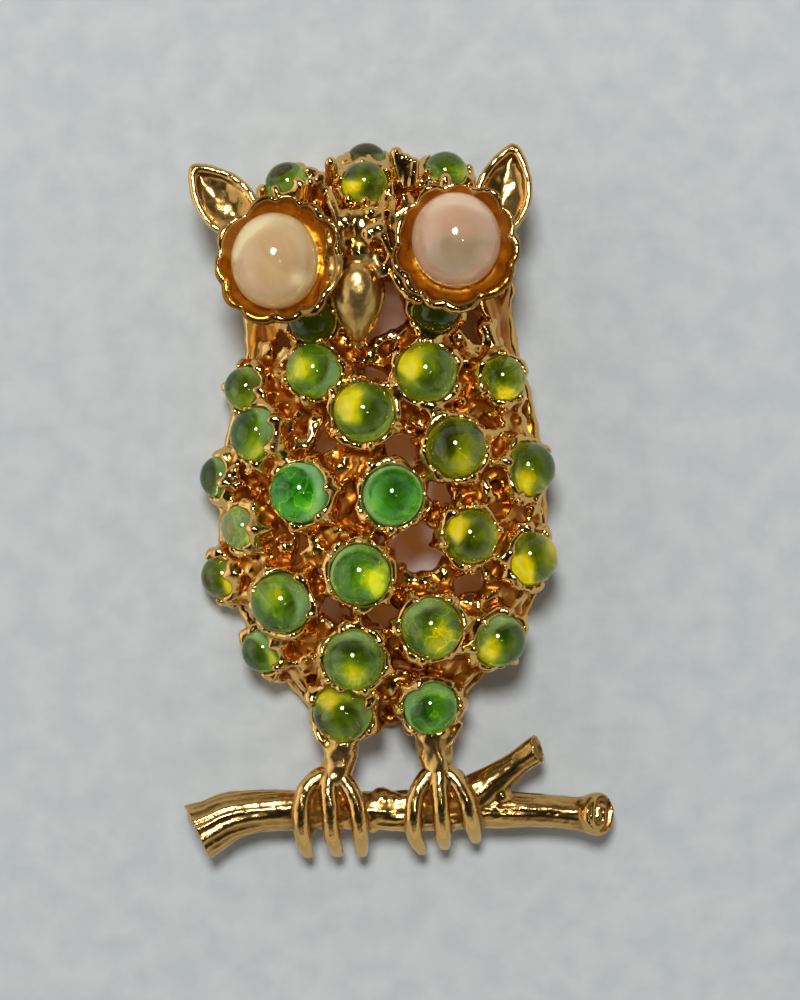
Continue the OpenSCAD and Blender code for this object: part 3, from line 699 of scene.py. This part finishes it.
FLANKS = [
    # strands down the flanks: share across and level of each point that they run through
    [(-0.86, 0.99), (-0.92, 0.87), (-0.95, 0.74), (-0.97, 0.60), (-0.96, 0.46), (-0.94, 0.34),
     (-0.90, 0.20), (-0.86, 0.06)],
    [(0.84, 1.02), (0.90, 0.90), (0.93, 0.78), (0.95, 0.64), (0.95, 0.50), (0.93, 0.36),
     (0.90, 0.22), (0.84, 0.06)]]
for row in FLANKS:
    place = flowing(row, 60)
    body += sinew(sunk_at(place, 0.75), 0.6, 4)
    place = place + dice.uniform(-0.04, 0.04, place.shape)
    body.append(grains(sunk_at(place, 0.45), 0.25, 0.5))
for name in GREENS:
    bowl, start = cup(seats[name])
    body.append(bowl)
    body += claws(seats[name], start)
loop = np.concatenate([dome(1, np.linspace(0, 2, 90)), dome(-1, np.linspace(2, 0, 90))])
loop = np.concatenate([loop, loop[:1]])
inward = unit(np.cross([0, 0, 1], np.gradient(loop, axis=0)))
rim, bar_half, bar_top = 0.7, 1.1, 2.7
body.append(tube(loop + rim * inward + [0, 0, 0.65], rim, 16, flat=0.93, square=0.6, guide=[0, 0, 1]))
for level in (1.40, 0.17):
    # a bar across the back, for the pin, and its two ends, which reach down to the rim
    left, right, y = dome(-1, level)[0] + rim, dome(1, level)[0] - rim, level_y(level)
    body.append(block((left, y - bar_half, 1.5), (right, y + bar_half, bar_top)))
    body += [block((x - 0.63, y - bar_half, 1.0), (x + 0.63, y + bar_half, bar_top)) for x in (left, right)]

# The legs run down from the cups at the hips, each a goblet's stem with two ribs that draw
# together at the ankle. They are cast with the body and a little less polished.
LEGS = {
    # the ankle, the middle of the foot, and the two sides of the cup that the ribs leave
    "stone_hip_1": ([-3.98, -17.9, 4.0], [-4.55, -18.95, 4.1], [-5.5, -15.5, 4.4], [-3.0, -16.2, 4.6]),
    "stone_hip_2": ([2.8, -17.9, 4.0], [2.95, -18.95, 4.1], [1.4, -15.6, 4.6], [4.5, -15.7, 4.4])}
for name, (ankle, foot, left, right) in LEGS.items():
    hip = seats[name]["at"] - seats[name]["w"]
    body.append(tube(flowing([hip, ankle, foot], 20), np.linspace(1.3, 0.95, 20), 18))
    for side in (left, right):
        aside = 0.25 * (side[0] - ankle[0])
        rib = [side, 0.45 * np.array(side) + 0.55 * np.array(ankle) + [0, 0, 0.35],
               np.array(ankle) + [aside, 0, 0.5], np.array(foot) + [aside, 0, 0.4]]
        body.append(tube(flowing(rib, 24), 0.36, 10))


def gold_plate(node, place):
    """Bright gold plate over a polished casting: a metal, nearly a mirror on the high places, rougher
    and painted more orange in the hollows, as painted shade and the light of gold on gold; brown where clefts
    hold old polish, with painted dark reflections on the eye dishes' rims and the branch's ends. The bowls
    round the eyes are amber, and a painted amber glow lies between the toes; beak, ears, legs and branch are
    satin."""
    deep, bowl, tarnish, satin = (node("Attribute", {"attribute_name": name}, out="Fac")
                                  for name in ("warmth", "bowl", "tarnish", "satin"))
    cloud = node("TexNoise", {}, {"Vector": place, "Scale": 700, "Detail": 3})
    both = node("Math", TIMES_PLUS, {0: cloud, 1: 0.3, 2: deep})
    # painted shade and orange bounce light: the gold grows more orange the deeper it lies in a hollow
    colour = node("ValToRGB", {"stops": [
        (0.15, "#E6BA6F"), (0.40, "#D2943A"), (0.70, "#BE741C"), (1.0, "#AC5A0E")]}, {"Fac": both})
    rough = node("MapRange", {}, {"Value": both, "From Min": 0.2, "To Min": 0.11, "To Max": 0.42})
    # coats over the gold: amber in the eye bowls and a painted glow between the toes; brown patina in the
    # clefts, also laid on as painted dark reflection on the dish rims and branch ends; and satin
    for share, more, dark, light in (
            (bowl, 0.10, "#B86C06", "#E89E10"), (tarnish, 0.05, "#4A2C0C", "#6E4718"),
            (satin, 0.2, "#CDA55A", "#DDB976")):
        coat = node("ValToRGB", {"stops": [(0.3, dark), (0.7, light)]}, {"Fac": cloud})
        colour = node("Mix", OF_COLOURS, {0: share, 6: colour, 7: coat}, out=2)
        rough = node("Math", TIMES_PLUS, {0: share, 1: more, 2: rough})
    lacquer = node("MapRange", {}, {"Value": both, "From Min": 0.4, "To Min": 1.0, "To Max": 0.8})
    metal = node("Math", TIMES_PLUS, {0: bowl, 1: -0.15, 2: lacquer})
    cast_skin = node("TexNoise", {}, {"Vector": place, "Scale": 2200, "Detail": 2})
    hammered = node("TexNoise", {}, {"Vector": place, "Scale": 1000, "Detail": 1, "Distortion": 0.6})
    dents = node("Math", {"operation": "MULTIPLY"}, {0: hammered, 1: bowl})
    relief = node("Math", TIMES_PLUS, {0: dents, 1: 5.0, 2: cast_skin})
    bump = node("Bump", {}, {"Height": relief, "Strength": 0.25, "Distance": 0.0001})
    return {"Base Color": colour, "Roughness": rough, "Metallic": metal, "Normal": bump}


FEET_X = (-4.65, 3.0)


def gilded(name, parts, voxel, coarse, fine, most):
    """A cast piece with its plate. Painted on it are painted shade and orange bounce light, in the clefts,
    down inside the shell and on the head's side walls; the amber in the eye bowls, streaked from the middle
    out, and a painted glow between the toes; the brown patina of the clefts, with painted dark reflections on
    the dish rims and the branch's ends; and the satin of the beak, the ears, the legs and the branch."""
    points, faces = cast(parts, voxel, coarse, fine, most)
    points = clear_seats(points)
    shown = piece(name, points, faces, "gold_plate", bright_gold)
    x, y, z = points.T
    cleft, amber_and_painted_glow = hollows(points, faces), np.zeros(len(points))
    patina_and_dark_reflection = 1.3 * cleft - 0.25
    if name == "cast_branch":
        # a painted glow of gold between the toes, and painted dark reflection that darkens the branch towards
        # its two ends
        at_feet = sum(np.exp(-((x - foot) / 2.0) ** 4) for foot in FEET_X)
        amber_and_painted_glow = 0.7 * at_feet * rising(z, 4.5, -0.2) * rising(y, -22.4, 0.8)
        # painted shade and orange bounce light in the branch's clefts
        warm, satin = 0.55 * cleft, 0.25
        patina_and_dark_reflection = np.clip(patina_and_dark_reflection + 0.07 + 0.42 * rising(np.abs(x), 5.5, 2), 0, 0.8) * (1 - amber_and_painted_glow)
    else:
        sunk = rising(dome(*share_of(points).T)[:, 2] - z, 0.7, 2.2)
        from_middle = np.abs(x - 0.5)
        ear = rising(from_middle, 8.2, 0.6) * (y > 17)
        cheek = (from_middle > 7) * (y < 16) * (name == "cast_head")
        beak = (np.abs(x + 0.95) < 1.75) * (y > 10.4) * (y < 16.6) * (z > 7.3)
        # painted shade and orange bounce light: in the clefts, down inside the shell and on the head's side
        # walls, less on the ears
        warm = (0.75 * cleft + 0.4 * sunk) * (1 - 0.8 * ear) + 0.3 * cheek
        patina_and_dark_reflection = 0.42 * np.clip(patina_and_dark_reflection, 0, 0.8)
        legs = rising(y, -16, -0.5) * (z > 2.2)
        satin = 0.35 * ear + 0.9 * beak if name == "cast_head" else 0.6 * legs
    for seat in eyes.values():
        up, flat = parted(points, seat)
        out, turn = np.linalg.norm(flat, axis=1), np.arctan2(flat @ seat["v"], flat @ seat["u"])
        streaks = 0.8 + 0.2 * np.sin(19 * turn + 2 * np.sin(5 * turn) + 3 * out)
        inside = rising(out, 4.1, -0.3) * (up > -0.8) * rising(up, 1.1, -0.2)
        amber_and_painted_glow = np.maximum(amber_and_painted_glow, streaks * inside)
        # painted dark reflection: the rims of the eye dishes darkened
        on_rim = (out > 3.7) * (out < 4.9) * rising(up, 0.5, 0.3) * (up < 2)
        patina_and_dark_reflection = np.maximum(patina_and_dark_reflection, 0.6 * on_rim)
    for field, values in (("warmth", warm), ("bowl", amber_and_painted_glow), ("tarnish", patina_and_dark_reflection), ("satin", satin)):
        painted(shown, field, np.clip(values, 0, 1))
    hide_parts("casting")


bright_gold = finish_of("bright_gold_plate", gold_plate)
gilded("cast_body", body, voxel=0.14, coarse=0.17, fine=0.06, most=195000)

# The head: a closed crown and two side walls, two flared dishes with scalloped rims round the eye
# stones, hollow leaf-shaped ears, a smooth almond beak, and a lumpy brow with short posts about the
# crown stones. All of it is one with the casting.
def wall(rows):
    """A closed piece of the dome's wall: each row is a level and the shares across where it starts
    and ends. Long folds run down it, made by noise drawn out along the level."""
    rows = np.array(rows)
    l = np.linspace(rows[0, 0], rows[-1, 0], 36)
    a = np.linspace(np.interp(l, rows[:, 0], rows[:, 1]), np.interp(l, rows[:, 0], rows[:, 2]), 48, axis=1)
    l = np.broadcast_to(l[:, None], a.shape)
    out = dome_out(a.ravel(), l.ravel()).reshape(*a.shape, 3)
    skin_at = dome(a, l)
    fold = noise(skin_at.reshape(-1, 3) * [1, 0.22, 1], 0.7, 8).reshape(a.shape)[..., None]
    return sheet_between(skin_at - (0.35 - 0.5 * fold) * out, skin_at - (1.2 - 0.1 * fold) * out)


def dish(seat, off):
    """The dish round an eye stone: a bowl that flares from under the stone to a rolled rim of
    rounded lobes with cusps between, each lobe running down the bowl as a shallow flute."""
    turn = ring_of(132)
    lobes = 11
    warped = turn + ripple(turn, 2, 0.13) + ripple(turn, 3, 0.07)
    lobe = np.abs(np.cos(lobes * warped / 2 + dice.uniform(0, 3))) ** 0.5
    uneven = ripple(turn, 2, 0.08) + ripple(turn, 5, 0.08)
    rim = 3.85 + 0.5 * lobe + uneven
    top = 1.08 + 0.18 * lobe + 1.4 * uneven
    flute = 0.3 * (lobe - 0.6)
    across = [1.2, 2.3, 2.75, 3.3 + flute, 0.5 * (3.3 + rim), rim - 0.02, rim - 0.2,
              0.45 * 3.0 + 0.55 * rim - 0.18, 3.05, 2.5, 1.0]
    up = [-2.3, -2.2, -0.75, -0.45, 0.32 * top, top, top + 0.02, 0.33 * top - 0.05 - flute,
          -0.1, -0.1, -0.1]
    middle = {**seat, "at": seat["at"] + off[0] * seat["u"] + off[1] * seat["v"]}
    bowl = lathe(middle, across, up, turn)
    turn, rim, top = (np.append(v, v[0]) for v in (turn, rim, top))
    out = around(seat, turn)
    ring = middle["at"] + rim[:, None] * out - 0.14 * out + top[:, None] * seat["w"]
    bead = 0.28 - 0.08 * np.sin(turn) + ripple(turn, 7, 0.06) + 0.03 * np.sin(17 * turn)
    return [bowl, tube(ring, bead, 12, guide=seat["w"])]


def leaf(root, turn):
    """A hollow leaf on its root: its outline is a sine arch to the power 0.8, its inside sinks
    between a rolled edge, and its back is rounded."""
    length, width, thick, tilt, steps = 7.0, 3.8, 1.5, -8, 40
    u, v = np.meshgrid(np.linspace(0.0, 1, steps), np.linspace(-1, 1, 25), indexing="ij")
    arch = np.sin(np.pi * u) ** 0.8
    x, y = v * width / 2 * arch, length * u
    hammered = 0.1 * noise(np.stack([x, y, 0 * x], -1).reshape(-1, 3), 0.5, 5).reshape(x.shape)
    top = thick - 0.08 - (0.72 + hammered) * (1 - np.abs(v) ** 1.7) * np.minimum(1, 3 * arch)
    back = 0.1 + 0.5 * np.abs(v) ** 2
    a, b = np.radians(turn), np.radians(tilt)
    lean = np.array([[1, 0, 0], [0, np.cos(b), -np.sin(b)], [0, np.sin(b), np.cos(b)]])
    spin = np.array([[np.cos(a), -np.sin(a), 0], [np.sin(a), np.cos(a), 0], [0, 0, 1]])
    along = np.concatenate([np.linspace(0.02, 1, steps), np.linspace(1, 0.02, steps)])
    side = np.repeat([-1.0, 1.0], steps)
    edge = (side * (width / 2 - 0.22) * np.sin(np.pi * along) ** 0.8, (length - 0.15) * along,
            np.full(2 * steps, thick - 0.42))
    top, back, edge = (np.stack(p, -1) @ (spin @ lean).T + root
                       for p in ((x, y, top), (x, y, back), edge))
    return [sheet_between(top, back), tube(edge, 0.25 + 0.12 * along, 12, guide=spin @ lean @ [0, 0, 1.0])]


def almond(top, tip, width, high, deep):
    """A smooth beak from its round top to its point: across it lies an ellipse that is widest two
    fifths of the way down."""
    u = np.linspace(0.0, 1, 40)
    swell = np.maximum(np.sin(np.pi * u ** 0.75), 0) ** 0.62
    turn = ring_of(36)
    middle = top + (tip - top) * u[:, None]
    x = np.cos(turn) * swell[:, None] * width / 2
    z = np.where(np.sin(turn) > 0, high, deep) * np.sin(turn) * swell[:, None]
    return skin(middle[:, None] + np.stack([x, 0 * x, z], -1))


head = [wall([(1.60, -0.99, 0.99), (1.99, -0.99, 0.99)]),
        wall([(0.93, -0.99, -0.90), (1.02, -0.99, -0.80), (1.12, -0.99, -0.66), (1.64, -0.99, -0.66)]),
        wall([(0.90, 0.93, 0.99), (1.00, 0.86, 0.99), (1.12, 0.76, 0.99), (1.64, 0.72, 0.99)])]
head += dish(eyes["eye_left"], [0.35, 0.05]) + dish(eyes["eye_right"], [-0.05, -0.5])
head += leaf(np.array([-7.2, 17.95, 6.31]), 40) + leaf(np.array([8.4, 16.87, 6.31]), -15)
beak_top = np.array([-0.85, 16.25, 8.5])
beak_tip = np.array([-1.05, 10.75, 7.6])
head.append(almond(beak_top, beak_tip, 3.25, 1.5, 0.9))
head.append(almond(beak_top + [0, 0.25, -0.9], beak_tip + [0, 0.1, -0.6], 3.9, 0.5, 0.6))
head.append(tube([beak_tip - [0, 0, 0.8], [-1.0, 10.2, 6.0]], [0.6, 0.9]))
ridge = [[-0.2, 20.4, 5.9], [-0.4, 19.5, 7.3], [-0.5, 18.3, 8.1], [-0.7, 16.8, 8.0]]
head.append(tube(flowing(ridge, 24), 1.15 + 0.12 * np.sin(np.linspace(0, 14, 24)), 18))
POSTS = [
    # foot and top of each post about the crown stones, and its radius
    ([-2.2, 21.9, 6.6], [-2.3, 23.1, 7.6], 0.42), ([2.5, 21.6, 6.8], [2.2, 23.5, 7.5], 0.46),
    ([2.7, 21.3, 7.0], [2.85, 23.1, 7.5], 0.36), ([3.2, 21.3, 7.2], [3.4, 22.8, 7.5], 0.36),
    ([-3.95, 20.3, 7.2], [-3.7, 21.7, 8.4], 0.4), ([-2.8, 20.2, 7.2], [-2.95, 22.0, 8.3], 0.4)]
for foot, top, radius in POSTS:
    head.append(tube(np.linspace(foot, top, 8), np.linspace(radius * 1.15, radius, 8), 12))
CURLS = [
    # ridges of the brow: the points that each runs through, and its radius
    ([[-2.6, 21.3, 7.6], [-2.1, 19.6, 8.7], [-1.9, 17.8, 9.0], [-2.4, 16.0, 8.9]], 0.38),
    ([[-3.4, 20.4, 7.4], [-2.9, 18.9, 8.8], [-2.6, 17.6, 9.1], [-2.9, 16.5, 8.9]], 0.32),
    ([[1.2, 20.9, 7.3], [0.9, 19.4, 8.5], [1.0, 17.9, 8.9], [1.5, 16.6, 8.7]], 0.36),
    ([[1.9, 20.6, 7.2], [1.7, 19.4, 8.4], [1.8, 18.2, 8.9]], 0.30),
    ([[0.55, 17.0, 8.3], [0.45, 16.2, 8.6], [0.9, 15.2, 8.4]], 0.26),
    ([[0.75, 17.1, 8.2], [1.3, 16.4, 8.5], [1.1, 15.3, 8.4]], 0.26),
    ([[-2.5, 15.9, 8.8], [-2.8, 15.1, 8.7], [-3.2, 14.6, 8.4]], 0.40),
    ([[1.6, 15.2, 8.6], [2.2, 14.0, 8.6], [3.2, 13.3, 8.7]], 0.36)]
for points, radius in CURLS:
    head.append(tube(flowing(points, 20), radius * (1 + 0.15 * np.sin(np.linspace(0, 11, 20))), 12))
head.append(heap([-0.4, 18.2, 8.6], [1.2, 1.4, 0.3], 9, 0.5, 0.75))
for name, foot in (("eye_left", "neck_1"), ("eye_right", "neck_2")):
    start = eyes[name]["at"] - 1.3 * eyes[name]["w"] - [0, 2.0, 0]
    head += sinew(np.linspace(start, sunk_at(where[foot], SINK), 14), 0.95)
gilded("cast_head", head, voxel=0.11, coarse=0.03, fine=0.02, most=190000)

# The branch that the owl stands on, with its twig: bark in long flowing grooves, a flared left
# end cut on the slant, a knob with a coiled face at the right end, and the six toes, plain polished
# wires that bend over it.
def bark(path, radius, grooves, deep, sides, cut):
    """A branch along a path: long grooves wind round it, each a cosine of the angle that noise
    bends, so that they join and part. Its first end is cut on a slant, so much further along for
    each mm to the side and up, and dished."""
    along = unit(np.gradient(path, axis=0))
    side = unit(np.cross([0, 0, 1], along))
    up = np.cross(along, side)
    turn = ring_of(sides)[None, :]
    run = np.concatenate([[0], np.cumsum(np.linalg.norm(np.diff(path, axis=0), axis=1))])[:, None]
    place = np.stack(np.broadcast_arrays(run / 3.6, 1.6 * np.cos(turn), 1.6 * np.sin(turn)), -1)
    place = place.reshape(-1, 3)
    bent, worn, lumpy = (noise(place, size, seed).reshape(len(path), sides)
                         for size, seed in ((0.9, 6), (1.3, 9), (0.5, 10)))
    groove = np.abs(np.cos(grooves * turn / 2 + 2.4 * bent)) ** 0.7
    lumps = np.clip(1.4 - np.abs(path[:, :1]) / 6.5, 0, 1) * lumpy
    carved = deep[:, None] * (0.55 + 0.45 * worn) * (1 - groove)
    radius = radius[:, None] - carved + 0.08 * bent + 0.16 * lumps
    a, b = radius * np.cos(turn), radius * np.sin(turn)
    slant = (cut[0] * a + cut[1] * b) * np.clip(1 - run / 3, 0, 1)
    rings = (path[:, None] + a[..., None] * side[:, None] + b[..., None] * up[:, None]
             + slant[..., None] * along[:, None])
    middle = rings[:1].mean(1, keepdims=True)
    dished = [middle + share * (rings[:1] - middle) + sunk * along[0]
              for share, sunk in ((0.5, 0.5), (0.78, 0.4), (0.9, 0.02))]
    return skin(np.concatenate([*dished, rings]))


LIMB = [
    # along the picture, up it, height of the middle, radius
    [-14.1, -22.35, 2.6, 2.1], [-13.1, -21.95, 2.6, 1.88], [-11.6, -21.3, 2.6, 1.72],
    [-9.2, -21.05, 2.6, 1.5], [-5.3, -21.2, 2.6, 1.42], [0.0, -21.55, 2.6, 1.45], [5.3, -21.75, 2.6, 1.42],
    [9.4, -22.0, 2.6, 1.2], [12.0, -22.35, 2.6, 1.2], [13.1, -22.5, 2.65, 1.35]]
limb = flowing(LIMB, 240)
groove_depth = np.interp(limb[:, 0], [-14, -8, -5, 14], [0.42, 0.36, 0.2, 0.16])
branch = [bark(limb[:, :3], limb[:, 3], 17, groove_depth, sides=160, cut=(-0.02, 0.12))]
TWIG = [
    # the same for the twig, from its cut end down
    [9.9, -17.6, 3.7, 1.02], [9.3, -17.95, 3.6, 0.96], [8.2, -18.7, 3.4, 0.95], [6.7, -19.7, 3.1, 1.2],
    [4.9, -20.9, 2.9, 1.5]]
twig = flowing(TWIG, 70)
branch.append(bark(twig[:, :3], twig[:, 3], 7, np.full(len(twig), 0.12), sides=72, cut=(0.25, 0.2)))
# the right end: a flared knob with a spiral ridge coiled on its face
across = np.concatenate([[1.0, 1.2, 1.42, 1.5, 1.42, 1.34], np.linspace(1.25, 0.1, 24)])
turn = ring_of(72)
coil_step = 0.85
spiral = 0.2 * np.cos(2 * np.pi * (across[6:, None] + 0.2 * np.cos(2 * turn + 1)) / coil_step + turn + 2)
up = [-1.6, -0.9, 0.0, 0.55, 0.9, 0.98, *(0.78 + spiral)]
knob_w = unit(np.array([0.72, 0.05, 0.69]))
knob_u = unit(np.cross([0, 1, 0], knob_w))
knob = {"at": np.array([13.35, -22.45, 2.75]), "u": knob_u, "v": np.cross(knob_w, knob_u), "w": knob_w}
branch.append(lathe(knob, across, up, turn))
# lumps along the middle of the limb, and the pad of each foot between the toes
branch.append(heap([0, -21.5, 3.1], [7.2, 0.9, 0.25], 44, 0.5, 0.85))
for x in FEET_X:
    branch.append(heap([x, -20.1, 3.65], [1.3, 0.8, 0.3], 22, 0.42, 0.7))
TOES = [
    # where each toe runs: from the ankle over the branch to its tip
    [[-4.5, -18.5, 4.1], [-5.6, -18.9, 4.3], [-6.5, -19.9, 4.5], [-6.75, -21.6, 4.5],
     [-6.65, -23.2, 3.6], [-6.45, -24.1, 2.5]],
    [[-4.45, -18.5, 4.3], [-4.75, -19.4, 4.6], [-4.72, -21.0, 4.75], [-4.7, -22.6, 4.2],
     [-4.55, -23.5, 3.4], [-4.4, -24.15, 2.5]],
    [[-4.3, -18.5, 4.1], [-3.55, -19.2, 4.4], [-2.95, -20.4, 4.6], [-2.75, -21.9, 4.5],
     [-2.7, -23.3, 3.6], [-2.7, -24.25, 2.5]],
    [[2.9, -18.5, 4.1], [1.95, -19.3, 4.3], [1.25, -20.4, 4.5], [0.95, -22.0, 4.5],
     [1.1, -23.4, 3.6], [1.45, -24.3, 2.5]],
    [[2.95, -18.5, 4.3], [2.9, -19.6, 4.6], [2.92, -21.2, 4.75], [2.97, -22.7, 4.2],
     [3.0, -23.5, 3.4], [3.05, -24.05, 2.5]],
    [[3.05, -18.5, 4.1], [3.95, -19.4, 4.4], [4.6, -20.6, 4.6], [4.9, -21.9, 4.4],
     [5.1, -23.0, 3.5], [5.25, -23.7, 2.6]]]
toe_radius = np.interp(np.linspace(0, 1, 40), [0, 0.3, 0.7, 1], [0.66, 0.62, 0.62, 0.45])
for toe in TOES:
    branch.append(tube(flowing(toe, 40), toe_radius, 18))
gilded("cast_branch", branch, voxel=0.10, coarse=0.03, fine=0.02, most=150000)


# The two eye stones: milky peach cabochons of pressed glass, of the moonstone kind, whose soft inner
# glow is painted on and shines faintly of itself. They are cemented into their dishes, and no claws hold
# them.
def eye_glass(node, place):
    """Milky glass under a fire-polished face: IOR 1.5. Its colour is painted light and shade: cream on the
    side that the light gathers on, a greyer shade across it, and a faint glow of its own."""
    glow, pink = (node("Attribute", {"attribute_name": name}, out="Fac")
                  for name in ("glow", "pink"))
    cloud = node("TexNoise", {}, {"Vector": place, "Scale": 300, "Detail": 3, "Distortion": 1.4})
    both = node("Math", TIMES_PLUS, {0: cloud, 1: 0.5, 2: glow})
    peach = node("ValToRGB", {"stops": [
        (0.35, "#B89A70"), (0.60, "#CDB086"), (0.82, "#E4CC98"), (1.05, "#F8E8B8")]}, {"Fac": both})
    rose = node("ValToRGB", {"stops": [
        (0.20, "#A89A7C"), (0.42, "#B9A78A"), (0.62, "#CAA88E"), (1.05, "#E4CAB0")]}, {"Fac": both})
    colour = node("Mix", OF_COLOURS, {0: pink, 6: peach, 7: rose}, out=2)
    return {"Base Color": colour, "Roughness": 0.05, "IOR": 1.5, "Transmission Weight": 0.40,
            "Subsurface Weight": 0.7, "Subsurface Radius": (1.0, 0.75, 0.5), "Subsurface Scale": 0.002,
            "Emission Color": colour, "Emission Strength": 0.07, "Coat Weight": 0.6, "Coat Roughness": 0.02}


def amber(node, place):
    """The back of a milky stone, painted with a glow of its own that stands in for the light of the gold
    under it shining through.
    """
    cloud = node("TexNoise", {}, {"Vector": place, "Scale": 500, "Detail": 3})
    colour = node("ValToRGB", {"stops": [(0.3, "#A87E44"), (0.7, "#E0C08C")]}, {"Fac": cloud})
    return {"Base Color": colour, "Roughness": 0.5, "Emission Color": colour, "Emission Strength": 0.25}


milky_glass = finish_of("milky_peach_glass", eye_glass)
amber_glow_back = finish_of("painted_amber_glow_under_glass", amber)
for name, side, pink in (("eye_left", 135, 0.0), ("eye_right", 80, 1.0)):
    seat = eyes[name]
    stone, _, _, off = stone_on(name, seat, "eye_glass", milky_glass, amber_glow_back,
                                rings=40, sides=96, tall=0.09)
    x, y = off @ seat["u"], off @ seat["v"]
    rim, angle = np.hypot(x, y), np.degrees(np.arctan2(y, x))
    # painted light: a bright crescent near the edge on one side, a painted highlight as a spark across from
    # it, and a paler rim
    crescent = np.exp(-((rim - 0.82) / 0.16) ** 2 - ((angle - side) / 48) ** 2)
    spark = np.exp(-((x - 0.62) ** 2 + (y + 0.5) ** 2) / 0.03)
    field = 0.36 + 0.76 * crescent + 0.4 * spark + 0.25 * rising(rim, 0.85, 0.15)
    if pink:
        # the greyer lower field, under a wavy line
        above_line = y + 0.14 + 0.2 * x ** 2 + 0.05 * np.sin(7 * x)
        field -= 0.34 / (1 + np.exp(above_line / 0.04)) * rising(rim, 0.98, -0.2)
    painted(stone, "glow", np.clip(field, 0, 1))
    painted(stone, "pink", pink)

# The pin: a drawn brass wire between a hinge block and a catch, soldered to the bars at the back. It is
# plated with the rest and a little duller.
def pin_plate(node, place):
    """Plated brass wire: brushed by handling, so rougher than the casting."""
    rub = node("TexNoise", {}, {"Vector": place, "Scale": 900, "Detail": 4})
    colour = node("ValToRGB", {"stops": [(0.3, "#C9A35C"), (0.7, "#E0C07C")]}, {"Fac": rub})
    rough = node("MapRange", {}, {"Value": rub, "To Min": 0.2, "To Max": 0.4})
    return {"Base Color": colour, "Roughness": rough, "Metallic": 1.0}


plated_wire = finish_of("plated_pin_wire", pin_plate)
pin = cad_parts["pin_back"].data.materials
pin.clear()
pin.append(plated_wire)

# The setting: a plain pale floor, a lamp over the top edge of the picture, a broad soft light from
# the left, and the camera straight above.
def board_paint(node, place):
    """Matt pale paint with a soft grain."""
    mottle = node("TexNoise", {}, {"Vector": place, "Scale": 420, "Detail": 2})
    colour = node("ValToRGB", {"stops": [(0.35, "#B8BEC0"), (0.65, "#C1C6C7")]}, {"Fac": mottle})
    bump = node("Bump", {}, {"Height": mottle, "Strength": 0.3, "Distance": 0.0005})
    return {"Base Color": colour, "Roughness": 0.85, "Normal": bump}


board = placed("board", bpy.data.meshes.new("board"))
board.data.from_pydata([(-1, -1, 0), (1, -1, 0), (1, 1, 0), (-1, 1, 0)], [], [(0, 1, 2, 3)])
board.data.materials.append(finish_of("pale_board", board_paint))


def lamp(name, toward, distance, size, watts, colour="#FFFFFF", facing=(0, 0, 0)):
    """A round soft light at a distance from the point that it faces, by default the brooch's middle."""
    data = bpy.data.lights.new(name, "AREA")
    data.shape, data.size, data.energy, data.color = "DISK", size, watts, linear(colour)[:3]
    light = placed(name, data)
    z = unit(np.array(toward, float))
    x = unit(np.cross([0.0, 1.0, 0.05], z))
    axes = np.stack([x, np.cross(z, x), z, z * distance + facing], 1)
    light.matrix_world = Matrix([*axes.tolist(), [0, 0, 0, 1]])
    return light


lamp("main_lamp", (-0.03, 0.33, 0.94), 0.5, 0.12, 1.9)
lamp("small_lamp", (0.26, -0.03, 0.97), 0.6, 0.035, 0.13)
lamp("left_window", (-0.90, 0.10, 0.40), 1.3, 1.6, 4.0, "#FFF8EE")
# The light that the gold passes round inside the dome, further than the renderer follows it: warm
# cards that light the board under the openings, and are not seen themselves.
for name, up_the_owl, size, watts in (
        ("inside_card", -0.001, 0.019, 0.00026), ("neck_card", 0.0135, 0.012, 0.00012)):
    card = lamp(name, (0, 0, 1), 0.003, size, watts, "#FF9236", facing=(0, up_the_owl, 0))
    card.visible_camera = card.visible_glossy = False
# The room, which the polished gold mirrors: dark overhead, lighter towards the walls, and uneven.
world = bpy.data.worlds.new("studio")
world.use_nodes = True
node = partial(add, world)
way = node("TexCoord", out="Generated")
height = node("SeparateXYZ", {}, {"Vector": way}, out="Z")
patches = node("TexNoise", {}, {"Vector": way, "Scale": 2.6, "Detail": 3})
uneven = node("Math", TIMES_PLUS, {0: patches, 1: -0.7, 2: height})
room = node("ValToRGB", {"stops": [
    (0.0, "#F4F1EC"), (0.12, "#B4AFA8"), (0.34, "#57524B"), (0.56, "#1C1814")]}, {"Fac": uneven})
background = world.node_tree.nodes["Background"]
world.node_tree.links.new(room, background.inputs["Color"])
background.inputs["Strength"].default_value = 0.66
bpy.context.scene.world = world
camera = placed("camera", bpy.data.cameras.new("camera"))
camera.data.lens, camera.data.sensor_width = 102.3, 36
camera.data.clip_start, camera.data.clip_end = 0.01, 10
camera.matrix_world = Matrix.Translation((1.22 * MM, 0, 0.2)) @ Matrix.Rotation(np.radians(-3), 4, "Z")
bpy.context.scene.camera = camera
bpy.context.scene.view_settings.view_transform = "Standard"
